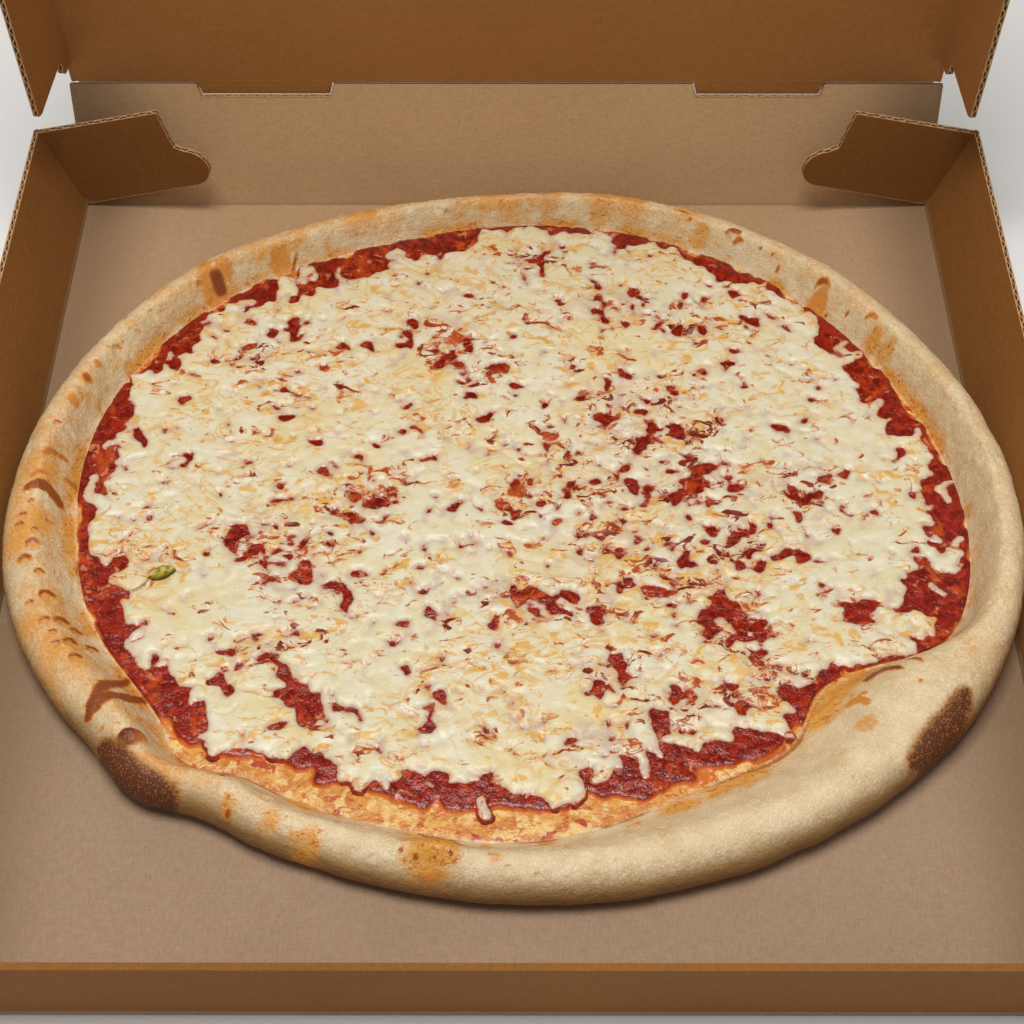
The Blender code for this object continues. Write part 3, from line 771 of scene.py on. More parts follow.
# A stroke is start, end, bend, half width and strength; a spot is x, y, reach and strength;
# a dimple is x, y and reach; all in millimetres. Strengths above 1 are the darkest.
TOAST_STROKES = (
    ((-155.2, -101.2), (-145, -72.5), 1.2, 2.5, 1.02), ((-154.4, -100.6), (-136, -80), 1.3, 2.9, 1.02),
    ((137.5, -80.5), (150.5, -80), 4.2, 2, 1.2), ((152.5, -73.5), (158, -77.8), 1.3, 1.1, 1),
    ((129, -90.5), (136.6, -93), 3, 2.2, 0.62), ((114.5, -92), (125.5, -85), 0.5, 1.3, 0.62),
    ((133.5, -87), (138.5, -86.6), 0.4, 1, 0.9), ((-197.3, 9.2), (-183.2, 7.6), 3.8, 2.7, 1),
    ((-195.5, 15.4), (-188.8, 18.4), 0.8, 1.3, 0.75), ((-191.5, 26.5), (-184.3, 30.6), 1.2, 1.6, 0.75),
    ((-184.8, 21.7), (-180, 19.8), 1, 1.6, 0.75), ((-7.1, -141.2), (2.6, -141.4), 0.8, 1.1, 0.85),
    ((-31.5, -139.5), (-25, -140.6), 0.6, 0.8, 0.95), ((-22.3, -142.5), (-14.2, -150), 2.2, 0.7, 0.95),
    ((-29.8, -160.8), (-21.5, -161), -1.2, 1.3, 0.62), ((-99.5, 150.5), (-96.8, 158.5), 0.6, 1, 0.95),
    ((79, 178.6), (85.2, 176.4), 0.5, 0.8, 1), ((102.2, 165.5), (108.8, 163.7), 1.2, 1, 1.05),
    ((106, 161.4), (110.2, 160.2), 0.8, 0.7, 0.8), ((140.4, 132.6), (146.4, 128.8), 1.4, 1, 0.95),
    ((160, 110.2), (165.2, 106.8), 1.3, 0.9, 0.8))
TOAST_SPOTS = (
    (134.5, -101.4, 6.2, 0.42), (-131.6, 136.4, 5, 1.05), (-136.5, 137.5, 7, 0.55), (-129, 141.5, 6, 0.5),
    (-135, 131.5, 6, 0.5), (-104, 152, 8, 0.55), (142.8, 127.4, 6, 0.5), (86.1, 174, 1.3, 0.95),
    (117.5, 155.4, 1, 0.9), (122.7, 151.5, 1, 0.9), (125.2, 146.3, 1.4, 0.8), (153.5, 116.8, 1, 0.9),
    (145.7, 121.8, 1.2, 0.85), (60, 187, 9, 0.42), (20, 190, 10, 0.42), (-64, 178, 5, 0.45),
    (155.6, -87, 1.5, 0.75), (-36.1, -153.2, 1.5, 1.1), (-34.9, -156.9, 1.1, 0.85), (-31.6, -145.6, 1.4, 1),
    (-28, -148.2, 1.3, 1), (-24, -157, 1.2, 0.95), (-20.5, -149, 1.2, 1.05), (-25.8, -144.8, 1.9, 0.9),
    (-30.7, -156.1, 1.9, 0.95), (-18.6, -155.5, 1.4, 1.15), (-28.1, -153, 1, 1.05), (-15.9, -148.4, 1, 1),
    (-103, -114.6, 3.1, 1), (-103, -121.3, 1.9, 0.9), (-108.8, -114.9, 1.9, 0.8), (-99.2, -132.6, 1.7, 0.75),
    (-99.2, -137.5, 1.9, 0.9), (-184.5, 59, 4, 0.55), (-180.9, 72.3, 3.4, 0.85), (-177.5, 80.5, 2.6, 0.6))
DIMPLES = (
    (-195.5, -4, 2), (-196, -8.9, 2.2), (-189, -18.4, 3.1), (-191, -26.6, 3), (-184.1, -32, 2),
    (-179.2, -43.2, 3.1), (-185.4, -47.4, 1.9), (-177.9, -56.5, 2.5), (-171.7, -54.4, 2.8), (-173.8, -62, 2),
    (-166.9, -56, 2.2), (-166.7, -65, 2.6), (-171.9, -67.2, 2), (-163.3, -73.9, 2.6), (-160.3, -62.4, 2.2),
    (-189.5, -11.6, 1.8), (-185.4, -3.6, 1.4), (-193, 3, 1.4), (-189, 45, 1.7))
OIL_SPOTS = (
    (-133, -96, 7, 0.75), (-128, -103.5, 4.5, 0.7), (118.4, -94.2, 4, 0.95), (121, -88, 7, 0.7),
    (143, -76, 11, 0.55), (-25.5, -152.5, 17, 1), (-6, -146.5, 4.5, 0.8), (-3, -156.5, 5, 0.8),
    (-104, -119, 8, 0.7), (-99, -134.5, 6, 0.75), (-84, -142, 8, 0.75), (-70, -149, 11, 0.8),
    (141, 126.5, 9, 0.9), (90.5, 168.7, 8, 0.8), (163.4, 101.4, 8, 0.85), (168.3, 94.1, 7, 0.8),
    (45, 184, 12, 0.7), (5, 186, 14, 0.6), (-82, 164, 8, 0.5))
print("marks:", len(TOAST_STROKES) + len(TOAST_SPOTS) + len(DIMPLES) + len(OIL_SPOTS))

# %% [markdown]
# The same marks shape the dough: toasted lips stand up a little, knobs are round and proud, and the line
# where the rim folds over the bed is a groove. Broad lumps, fine lumps and scattered blisters do the rest.

# %% Relief of the rim
MARK_LIFT = 0.35
KNOB_AT = (-136.8, -110.0)
KNOB_HALF = (5.2, 3.7)
KNOB_LIFT = 2.2
BLISTER_COUNT = 260
BLISTER_DEPTH = 0.22
DIMPLE_GROWTH = 1.25
NEAR_COLUMNS = 22
FOLD_DEPTH = 0.28
GROOVE_DEPTH = 0.9
plan_x = plan[..., 0]
plan_y = plan[..., 1]
middle_y = PIZZA_Y / MM
on_rim = smooth(rim_share, 0.15, 1.0) * (1 - smooth(rim_share, 2.75, 3.1))
for bx, by, spread, lift in RIM_BUMPS:
    near = np.exp(-((plan_x - bx) ** 2 + (plan_y - by) ** 2) / (2 * spread ** 2))
    rim_points[..., 2] += near * lift * MM * smooth(rim_share, 1.0, 2.0) * (1 - smooth(rim_share, 2.0, 3.0))

toast = np.zeros(rim_share.shape)
raised = np.zeros(rim_share.shape)
for *curve, strength in TOAST_STROKES:
    mark = stroke(*curve)
    toast = np.maximum(toast, mark * strength)
    raised += mark * MARK_LIFT
for *place, strength in TOAST_SPOTS:
    toast = np.maximum(toast, spot(*place) * strength)
knob_x = (plan_x - KNOB_AT[0]) / KNOB_HALF[0]
knob_away = np.hypot(knob_x, (plan_y - KNOB_AT[1]) / KNOB_HALF[1])
raised += KNOB_LIFT * np.sqrt(np.clip(1 - knob_away ** 2, 0.0, 1.0))
toast = np.maximum(toast, (1 - smooth(knob_away, 0.75, 1.1)) * (1.2 - 0.5 * smooth(knob_x, -0.4, 0.8)))

blister_rng = np.random.default_rng(21)
blister_angle = blister_rng.uniform(0.0, 2 * math.pi, BLISTER_COUNT)
blister_in = rim_width(blister_angle) * blister_rng.uniform(0.15, 0.75, BLISTER_COUNT)
blister_reach = pizza_radius(blister_angle) - blister_in
blisters = zip(blister_reach * np.cos(blister_angle), middle_y + blister_reach * np.sin(blister_angle),
               blister_rng.uniform(0.9, 2.4, BLISTER_COUNT), blister_rng.uniform(0.05, 0.75, BLISTER_COUNT))
dimples = [(x, y, reach * DIMPLE_GROWTH, 1.0) for x, y, reach in DIMPLES]
for x, y, reach, strength in [*dimples, *blisters]:
    turn_at = math.atan2(y - middle_y, x) % (2 * math.pi)
    column = int(turn_at / (2 * math.pi) * ROUND_STEPS)
    columns = (column + np.arange(-NEAR_COLUMNS, NEAR_COLUMNS + 1)) % ROUND_STEPS
    off_x = (plan[:, columns, 0] - x) / reach
    off_y = (plan[:, columns, 1] - y) / reach
    away = np.hypot(off_x, off_y) + 0.10 * tear[:, columns]
    side_share = 0.25 + 0.75 * (0.5 - 0.5 * math.cos(turn_at - math.radians(10.0)))
    # Each dimple and blister is darker on its far lip: partly a toasted lip, partly painted shade on the
    # inner wall turned from the light.
    far_lip = np.clip(0.45 + 0.75 * (off_y - 0.3 * off_x) / np.maximum(away, 0.2), 0.0, 1.0)
    lip = np.exp(-((away - 0.72) / 0.24) ** 2) * far_lip + 0.5 * np.clip(1 - away, 0.0, 1.0)
    toast[:, columns] = np.maximum(toast[:, columns], lip * strength * side_share)
    ring = np.exp(-((away - 0.95) / 0.3) ** 2) * 0.5
    raised[:, columns] += (ring - np.clip(1 - away ** 2, 0.0, 1.0)) * reach * BLISTER_DEPTH

groove_line = np.exp(-((rim_share - 2.93) / 0.045) ** 2) * (0.3 + 0.5 * smooth(-np.sin(rim_angle), -0.3, 0.5))
groove_line *= 0.4 + 0.9 * smooth(rough_noise(rim_points, 12 * MM, 2, 27), -0.4, 0.4)
left_folds = np.clip(0.5 - 0.5 * np.cos(rim_angle), 0.0, 1.0) ** 2
fold_noise = lattice_noise(rim_points * np.array([1.0, 1.0, 0.35]), 8 * MM, 14)
relief = rough_noise(rim_points, 16 * MM, 3, 1) * 0.60 + lattice_noise(rim_points, 2.6 * MM, 5) * 0.15
relief += lattice_noise(rim_points, 1.3 * MM, 9) * 0.09
relief -= FOLD_DEPTH * left_folds * (1 - smooth(np.abs(fold_noise), 0.0, 0.22))
relief = relief * (0.25 + 0.75 * on_rim) + raised * on_rim - GROOVE_DEPTH * groove_line
relief *= MM * smooth(rim_share, 0.0, 0.4)
rim_points += grid_normals(rim_points) * relief[..., None]
rim_points = press_to_walls(rim_points)
print("relief from", (relief.min() / MM).round(2), "to", (relief.max() / MM).round(2), "mm")

# %% [markdown]
# Seven values go to the dough's material: how toasted, charred, oily and golden each point is, whether it
# belongs to the bed, how deep it lies in the groove, and how much painted shade it takes low on the front
# flank. The rim is pale at the front right, golden on the left and deepest at the back.

# %% Values for the dough's colour
CHAR_STROKES = (((172.5, -90), (149.5, -118), 2, 6), ((-148.8, -110.5), (-121, -131.5), -2.4, 7))
CHAR_SOFT = 3.0
OIL_SOFT = 0.8
GOLD_LOBES = ((185, 52, 0.84), (90, 52, 0.84), (5, 34, 0.4), (226, 18, 0.35), (334, 10, 0.25))
char = np.maximum.reduce([stroke(*line, CHAR_SOFT) for line in CHAR_STROKES])
char *= 1 - smooth(rim_share, 1.6, 2.1)
oil_patches = smooth(rough_noise(rim_points, 14 * MM, 3, 44), -0.5, 0.5)
oil = np.exp(-((rim_share - 2.80) / 0.26) ** 2) * (0.35 + 0.55 * oil_patches)
for *place, strength in OIL_SPOTS:
    oil = np.maximum(oil, spot(*place, OIL_SOFT) * strength)
gold = lobes(rim_angle, GOLD_LOBES)[None, :] * np.exp(-((rim_share - 2.0) / 0.95) ** 2)
gold *= 0.65 + 0.55 * rough_noise(rim_points, 13 * MM, 3, 12)
gold += 0.35 * (1 - smooth(rim_share, 0.2, 1.2))
# Painted shade: a darker coat low on the outer flank, strongest at the front, where the flank faces away from
# the light.
under = (1 - smooth(rim_share, 0.9, 1.95)) * (0.35 + 0.65 * smooth(-np.sin(rim_angle), -0.1, 0.7))
bed = smooth(rim_share + 0.05 * tear, 2.84, 3.05)
dough_values = {"toast": toast, "char": char, "oil": oil, "gold": gold, "bed": bed, "groove": groove_line,
                "under": under}
print({key: float(values.max().round(2)) for key, values in dough_values.items()})

# %% [markdown]
# Baked dough is pale cream where it rose away from the heat and golden where it faced it. The skin is full
# of tiny blisters finer than the mesh, so the last relief is a bump made of small cells, and the same cells
# paint pale dots on the skin as painted highlights.


# %% Dough material
def dough_material():
    """Cream skin, golden toast, orange oil, char and a stained bed, mixed by the dough's stored values, with
    painted highlights on tiny blisters and painted shade low on the front flank.
    """
    material, place = start_material("baked_dough", Specular_IOR_Level=0.45)
    toasted, charred, oily, golden, bedded, groove, low = [attribute(place, key) for key in dough_values]
    grain = place.noise(760.0, 3.0, 0.6)
    patch = place.noise(95.0, 3.0, 0.6)
    blot = place.noise(210.0, 3.0, 0.6, 0.8)
    bubbles = place.cells(900.0).step(0.05, 0.75)
    pits = place.cells(380.0).step(0.10, 0.45)
    speckle = grain - 0.5
    fleck = place.stretch((0.7, 1.2, 1.0), 0.5).noise(420.0, 3.0, 0.6, 1.2)
    streak = place.stretch((0.6, 1.3, 1.0), 0.35).noise(300.0, 3.0, 0.65, 1.6)
    smear = place.noise(75.0, 3.0, 0.6, 0.8)
    skin = shades((patch * 0.7 + grain * 0.3).step(0.3, 0.7), (204, 182, 140), (224, 208, 172))
    # Painted highlight: pale dots on the tiny blisters.
    baked = paint(skin, [(bubbles, 0.42, 0.0, (244, 234, 210), 0.6),
                         # Painted shade: a brown coat low on the front flank.
                         (low + speckle * 0.4, 0.0, 0.85, (146, 112, 66)),
                         (golden + speckle * 0.7 + (blot - 0.5) * 0.7, 0.15, 0.85, (214, 152, 68)),
                         (oily * (0.55 + 0.9 * (blot - 0.2)), 0.22, 0.80, (212, 152, 62)),
                         (oily * fleck.step(0.52, 0.64), 0.25, 0.75, (196, 104, 36)),
                         (toasted + speckle * 0.3, 0.18, 0.55, (208, 138, 58)),
                         (toasted + speckle * 0.3, 0.55, 0.92, (150, 72, 22)),
                         (toasted + speckle * 0.35, 0.88, 1.2, (86, 28, 16))])
    wet = shades((patch * 0.5 + blot * 0.5).step(0.36, 0.6), (216, 164, 76), (190, 112, 32))
    floor = paint(wet, [(place.noise(110.0, 3.0, 0.6, 0.8), 0.48, 0.60, (230, 200, 132), 0.8),
                        (streak, 0.53, 0.64, (178, 66, 20), 0.85),
                        (blot * 0.4 + smear * 0.6, 0.56, 0.60, (168, 44, 10))])
    colour = paint((bedded + speckle * 0.5).step(0.25, 0.8).mix(baked, floor),
                   [(groove * (0.5 + blot), 0.3, 0.95, (160, 92, 26)),
                    (charred + speckle * 0.7, -0.15, 0.55, (168, 112, 58)),
                    (charred + (bubbles - 0.5) * 0.35 + speckle * 0.9, 0.35, 1.0, (98, 54, 29)),
                    (charred * bubbles.step(0.55, 0.05), 0.30, 0.9, (176, 118, 72), 0.75)])
    gloss = 0.60 - oily * 0.22 - bedded * 0.10 - toasted * 0.10
    relief = bubbles * 0.4 + grain * 0.4 + pits * 0.2
    return finish_material(material, Base_Color=colour, Roughness=gloss, Normal=relief.bump(0.00045, 0.6))


row_count = len(rim_points)
bed_radius = pizza_radius(rim_angle) - rim_width(rim_angle)
underside = plan_ring(rim_angle, pizza_radius(rim_angle) * 0.5, np.zeros(ROUND_STEPS))
bed_inner = plan_ring(rim_angle, bed_radius * 0.5, np.full(ROUND_STEPS, BED))
dough_rows = np.concatenate([underside[None], rim_points, bed_inner[None]])
middles = np.array([underside.mean(axis=0), bed_inner.mean(axis=0)])
dough_points = np.concatenate([dough_rows.reshape(-1, 3), middles])
point_count = (row_count + 2) * ROUND_STEPS
dough_triangles = np.concatenate([fan(0, ROUND_STEPS, point_count, False),
                                  fan((row_count + 1) * ROUND_STEPS, ROUND_STEPS, point_count + 1, True)])


def rim_value(values):
    """A value on the rim grid, carried to the dough's extra rows and middle points."""
    padded = np.concatenate([values[:1], values, values[-1:]])
    return np.concatenate([padded.ravel(), [0.0, 0.0]])


make_piece("baked_dough", dough_points, grid_faces(row_count + 2, ROUND_STEPS, True), dough_triangles,
           dough_material(), "tray", ["pizza_crust"],
           {key: rim_value(values) for key, values in dough_values.items()})

# %% [markdown]
# Sauce and cheese both cover the bed, so they share one kind of grid: a square net squeezed onto the bed's
# outline, whose cells stay almost the same size from the middle to the edge. A net is closed by a skirt and
# a fan underneath, and fine nets are cut in four so that no mesh grows too large.


# %% A square net squeezed onto the bed
def disc_net(steps):
    """A (steps + 1) square grid mapped onto the bed's outline: x and y in millimetres, share and angle.

    Squares round the middle of the net become rings: the larger of the two coordinates is the share of the
    radius, and the smaller over the larger is the share of a quarter turn.
    """
    line = np.linspace(-1.0, 1.0, steps + 1)
    u, v = np.meshgrid(line, line, indexing="ij")
    flat = np.abs(u) >= np.abs(v)
    reach = np.where(flat, u, v)
    safe = np.where(reach == 0.0, 1.0, reach)
    angle = np.where(flat, math.pi / 4 * v / safe, math.pi / 2 - math.pi / 4 * u / safe)
    angle = np.where(reach < 0, angle + math.pi, angle) % (2 * math.pi)
    share = np.abs(reach)
    radius = share * (pizza_radius(angle) - rim_width(angle) + BED_SPARE)
    return radius * np.cos(angle), PIZZA_Y / MM + radius * np.sin(angle), share, angle


def border_order(rows, columns):
    """Indices of a net's border points, in order round it."""
    ids = np.arange(rows * columns).reshape(rows, columns)
    return np.concatenate([ids[:-1, 0], ids[-1, :-1], ids[:0:-1, -1], ids[0, :0:-1]])


def close_net(net, low):
    """A net's points and faces with a skirt down to a level and a fan across its underside."""
    rows, columns = net.shape[:2]
    points = net.reshape(-1, 3)
    border = border_order(rows, columns)
    skirt = points[border].copy()
    skirt[:, 2] = low
    ring = len(points) + np.arange(len(border))
    walls = np.stack([ring, np.roll(ring, -1), np.roll(border, -1), border], axis=1)
    quads = np.concatenate([grid_faces(rows, columns, False)[:, ::-1], walls])
    middle = skirt.mean(axis=0)
    return np.concatenate([points, skirt, middle[None]]), quads, fan(ring[0], len(ring), ring[-1] + 1, False)


def net_normals(net):
    """Unit normals of an open net from its two tangents."""
    return units(np.cross(np.gradient(net, axis=0), np.gradient(net, axis=1)))


def with_skirt(values, count):
    """A net's values, followed by zeros for the points of its skirt and underside."""
    return np.concatenate([values.ravel(), np.zeros(count - values.size)])


def flat_noise(x, y, cell, octaves, shift):
    """Noise in plan, from places in millimetres."""
    return rough_noise(np.stack([x, y, np.full_like(x, 3.3 * shift)], axis=-1), cell, octaves, shift)


BED_SPARE = 0.6
print("net helpers ready")

# %% [markdown]
# Where does the sauce show? Mostly in a broken ring just inside the rim, and in loose clusters across the
# middle where the cheese was thin. Each such place is an oval in plan with a strength, and noise tears its
# edge.

# %% Bare places in the cheese
# Ovals as x, y, half length, half width in millimetres, turn in degrees and strength.
BORDER_OVALS = (
    (-170, 36, 44, 8, 84, 1), (-161, -40, 30, 15, 112, 1), (-132, -74, 15, 7, -42, 1),
    (-77, -85, 22, 8, -62, 1), (-22, -124, 40, 8, -4, 1), (66, -111, 46, 11, 12, 1),
    (173, -34, 20, 13, 82, 1), (181, 10, 28, 6, 84, 0.9), (171, 68, 28, 14, -62, 1),
    (146, 108, 13, 8, -50, 0.9), (103, 149, 28, 8, -30, 1), (55, 174, 18, 5, -12, 0.9),
    (-30, 168, 19, 9, 12, 1), (-75, 148, 28, 9, 28, 1), (-146, 99, 24, 7, 58, 0.9),
    (-118, -92, 16, 6, -40, 0.8), (-70, -116, 20, 9, -30, 0.9))
CLUSTER_OVALS = (
    (-27, 92, 8, 5, -30, 1), (-20, 98, 26, 13, -45, 0.72), (53, 125, 22, 9, -10, 0.74),
    (88, 110, 9, 6, 30, 0.75), (12, 158, 15, 7, 0, 0.7), (-92, -14, 28, 15, -35, 0.84),
    (-58, 18, 18, 10, 30, 0.75), (16, -37, 28, 9, -8, 0.92), (42, -70, 12, 9, -30, 0.92),
    (90, -48, 24, 11, -50, 0.9), (92, -8, 14, 9, 40, 0.8), (143, -42, 6, 9, 0, 1),
    (127, 22, 15, 11, 40, 0.8), (94, 26, 18, 10, -35, 0.75), (60, 60, 30, 22, -40, 0.55),
    (15, 20, 32, 15, 20, 0.5), (70, -85, 24, 8, 20, 0.78), (112, -80, 16, 9, -60, 0.9),
    (38, -100, 18, 9, 10, 0.6), (-112, 96, 10, 6, 0, 0.7), (60, 10, 55, 40, -30, 0.45),
    (-100, -60, 12, 8, 0, 0.5))


def turned_by(heading, dx, dy):
    """How far places lie along a heading and to its left, from their offsets in x and y."""
    return dx * math.cos(heading) + dy * math.sin(heading), dy * math.cos(heading) - dx * math.sin(heading)


def oval_depth(x, y, ovals, torn):
    """Strongest of the ovals at each place: 1 well inside, 0 outside, with an edge torn by a noise value."""
    total = np.zeros_like(x)
    for cx, cy, long_half, short_half, degrees, strength in ovals:
        along, side = turned_by(math.radians(degrees), x - cx, y - cy)
        away = np.hypot(along / long_half, side / short_half) + torn
        total = np.maximum(total, strength * (1 - smooth(away, 0.55, 1.25)))
    return total


print("bare ovals:", len(BORDER_OVALS) + len(CLUSTER_OVALS))

# %% [markdown]
# Tomato sauce is wet pulp: small lumps on a smooth layer, glossy all over. Near the rim it thins out and
# breaks into islands, and bare dough stained orange shows between them, so its height dips under the dough
# there.

# %% Sauce
SAUCE_NET = 280
SAUCE_LEVEL = BED + 1.55
SAUCE_SUNK = 0.9
SAUCE_LIP = 1.5
SAUCE_SKIRT = 1.6
WANDERS = ((5.5, 11.0, 3, 3), (1.6, 4.0, 2, 8))
PULP_COARSE = 0.48
PULP_FINE = 0.3
BARE_DOUGH_LOBES = ((272, 22, 14), (238, 16, 11), (120, 20, 2))


def sauce_height(x, y, share, angle):
    """Height of the sauce over the dough's underside: pulp lumps, thinning to nothing at a wandering edge."""
    inside = (1 - share) * (pizza_radius(angle) - rim_width(angle))
    wander = sum(height * flat_noise(x, y, *rest) for height, *rest in WANDERS)
    cover = smooth(inside + SAUCE_LIP - lobes(angle, BARE_DOUGH_LOBES) + wander, -1.2, 2.0)
    pulp = PULP_COARSE * flat_noise(x, y, 5.5, 3, 20) + PULP_FINE * np.abs(flat_noise(x, y, 2.6, 2, 26))
    return BED - SAUCE_SUNK + (SAUCE_LEVEL - BED + SAUCE_SUNK + pulp) * cover, cover


def sauce_material():
    """Deep red pulp, orange and oily where it is thin, with pale seeds, wet all over."""
    wet = {"Specular_IOR_Level": 0.38, "Coat_Roughness": 0.08, "Coat_Weight": 0.10}
    material, place = start_material("tomato_sauce", **wet)
    cover = attribute(place, "cover")
    pulp = place.noise(280.0, 4.0, 0.65, 0.6)
    blot = place.noise(75.0, 3.0, 0.6, 0.8)
    seeds = place.noise(190.0, 3.0, 0.5, 0.8)
    red = shades(pulp.step(0.32, 0.66), (92, 10, 4), (150, 32, 12))
    warm = paint(red, [(blot * 0.7 + pulp * 0.3, 0.50, 0.66, (178, 70, 22))])
    colour = paint(warm, [(seeds, 0.60, 0.67, (206, 132, 90), blot.step(0.44, 0.56) * 0.7),
                          (cover + (pulp - 0.5) * 0.5, 0.95, 0.45, (206, 110, 44))])
    relief = pulp * 0.7 + place.noise(900.0, 2.0, 0.5) * 0.3
    gloss = 0.14 + pulp * 0.2
    return finish_material(material, Base_Color=colour, Roughness=gloss, Normal=relief.bump(0.0010, 0.75))


net_x, net_y, net_share, net_angle = disc_net(SAUCE_NET)
sauce_z, sauce_cover = sauce_height(net_x, net_y, net_share, net_angle)
sauce_net = np.stack([net_x * MM, net_y * MM, PIZZA_BASE + sauce_z * MM], axis=-1)
points, quads, triangles = close_net(sauce_net, PIZZA_BASE + (BED - SAUCE_SKIRT) * MM)
make_piece("tomato_sauce", points, quads, triangles, sauce_material(), "tray",
           ["pizza_sauce"], {"cover": with_skirt(sauce_cover, len(points))})

# %% [markdown]
# The cheese went on as shreds and melted into one sheet, so its edge is made of shred ends and the gaps in
# it lie between shreds. Thousands of short curved strokes are laid down by a seeded rule, fewer where the
# sauce should show; their heights add up on a fine square map, which is then blurred a little, as melting
# does.

# %% Shreds of cheese
LAY_CELL = 0.6
LAY_HALF_X = 192.0
LAY_HALF_Y = 172.0
LAY_MIDDLE_Y = 22.0
SHRED_TRIES = 10500
STRAY_SHARE = 0.04
CLUSTER_SHARE = 0.9
BORDER_IN = 2.2
CHEESE_BORDER_LOBES = ((277, 22, 11), (240, 18, 8.5), (195, 20, 3.5))
shred_rng = np.random.default_rng(5)


def cheese_inside(x, y):
    """Distance inside the cheese's wandering border, in millimetres."""
    angle = np.arctan2(y - PIZZA_Y / MM, x) % (2 * math.pi)
    inside = pizza_radius(angle) - rim_width(angle) - np.hypot(x, y - PIZZA_Y / MM)
    return inside - BORDER_IN - lobes(angle, CHEESE_BORDER_LOBES) + 3.0 * flat_noise(x, y, 11.0, 3, 51)


def cover_at(x, y):
    """Share of shreds kept at a place: few past the border or in a bare oval, all in the open middle."""
    torn = 0.35 * flat_noise(x, y, 9.0, 3, 61) + 0.2 * flat_noise(x, y, 3.5, 2, 66)
    cluster = CLUSTER_SHARE * oval_depth(x, y, CLUSTER_OVALS, torn)
    bare = np.maximum(oval_depth(x, y, BORDER_OVALS, torn), cluster)
    inside = cheese_inside(x, y)
    return np.maximum(smooth(inside, 0.0, 5.0) * (1 - bare), STRAY_SHARE * smooth(inside, 2.0, 5.0))


line_x = np.arange(-LAY_HALF_X, LAY_HALF_X, LAY_CELL)
line_y = LAY_MIDDLE_Y + np.arange(-LAY_HALF_Y, LAY_HALF_Y, LAY_CELL)
lay_x, lay_y = np.meshgrid(line_x, line_y, indexing="ij")
laid = np.zeros(lay_x.shape)


def lay_stroke(target, cx, cy, heading, half_length, girth, curl, rise):
    """Adds one curved stroke with a rounded section to a map: a parabola across it and at both ends."""
    reach = half_length + girth
    i = int((cx - reach + LAY_HALF_X) / LAY_CELL)
    j = int((cy - reach - LAY_MIDDLE_Y + LAY_HALF_Y) / LAY_CELL)
    span = int(2 * reach / LAY_CELL) + 2
    window = (slice(max(i, 0), max(i + span, 0)), slice(max(j, 0), max(j + span, 0)))
    along, side = turned_by(heading, lay_x[window] - cx, lay_y[window] - cy)
    side = side - curl * (along ** 2 - half_length ** 2 * 0.4)
    past = np.maximum(np.abs(along) - half_length, 0.0)
    target[window] += rise * np.clip(1 - (side ** 2 + past ** 2) / girth ** 2, 0.0, None)


def scattered(count):
    """Random places all over the map, drawn x first."""
    x = shred_rng.uniform(-LAY_HALF_X, LAY_HALF_X, count)
    return x, LAY_MIDDLE_Y + shred_rng.uniform(-LAY_HALF_Y, LAY_HALF_Y, count)


draw = shred_rng.uniform
starts_x, starts_y = scattered(SHRED_TRIES)
kept = np.flatnonzero(draw(0.0, 1.0, SHRED_TRIES) < cover_at(starts_x, starts_y))
for k in kept:
    lay_stroke(laid, starts_x[k], starts_y[k], draw(0.0, math.pi), draw(1.6, 4.8), draw(1.8, 3.1),
               draw(-0.05, 0.05), draw(0.8, 1.4))
print("shreds laid:", len(kept), "mean layers", laid[laid > 0].mean().round(2))

# %% [markdown]
# Melting leaves pits too: where a bubble of steam broke through, where two shreds pulled apart. They are
# laid the same way on a second map, mostly near the bare places, as small torn spots and thin bowed slits.

# %% Pits and slits
PIT_TRIES = 1500
SLIT_TRIES = 1300
OPEN_SHARE = 0.05
OVAL_GROWTH = 1.3
pit_x, pit_y = scattered(PIT_TRIES + SLIT_TRIES)


def redness_at(x, y):
    """How much the sauce works through the cheese at a place, from 0 to 1."""
    wide = [(cx, cy, a * OVAL_GROWTH, b * OVAL_GROWTH, *rest) for cx, cy, a, b, *rest in CLUSTER_OVALS]
    return np.clip(oval_depth(x, y, wide, 0.3 * flat_noise(x, y, 12.0, 3, 91)), 0.0, 1.0)


pits = np.zeros(lay_x.shape)
likely = OPEN_SHARE + (1 - OPEN_SHARE) * redness_at(pit_x, pit_y)
opened = draw(0.0, 1.0, len(pit_x)) < likely
for k in np.flatnonzero(opened & (cheese_inside(pit_x, pit_y) > 5.0)):
    heading = shred_rng.normal(0.0, 0.7)
    if k < PIT_TRIES:
        form = draw(0.1, 1.4), draw(0.8, 1.6), 0.0, draw(0.5, 1.7)
    else:
        form = draw(1.5, 4.0), draw(0.7, 1.1), draw(-0.12, 0.12), draw(0.8, 1.8)
    lay_stroke(pits, pit_x[k], pit_y[k], heading, *form)


def blur(values, passes):
    """Values on a map, each mixed with its four neighbours, a few times over."""
    for _ in range(passes):
        for axis in (0, 1):
            values = 0.5 * values + 0.25 * (np.roll(values, 1, axis) + np.roll(values, -1, axis))
    return values


SHRED_BLUR = 5
PIT_BLUR = 2
laid = blur(laid, SHRED_BLUR)
pits = blur(pits, PIT_BLUR)
print("pits up to", pits.max().round(2))

# %% [markdown]
# The summed shreds give a thickness that levels off, as melted cheese does. The surface is the sauce's mean
# level plus that thickness, with low broad swells where it bubbled, and the thickness is kept for the
# colour.

# %% Cheese surface
CHEESE_NET = 584
CHEESE_FULL = 1.8
MELT_REACH = 1.3
CHEESE_LIFT = 0.1
CHEESE_SKIRT = 1.2
SINK_AT = 0.40
SINK_SLOPE = 2.4
SINK_MOST = 0.9
SINK_DEPTH = 3.2
PIT_DEPTH = 1.1
WARP = 1.1


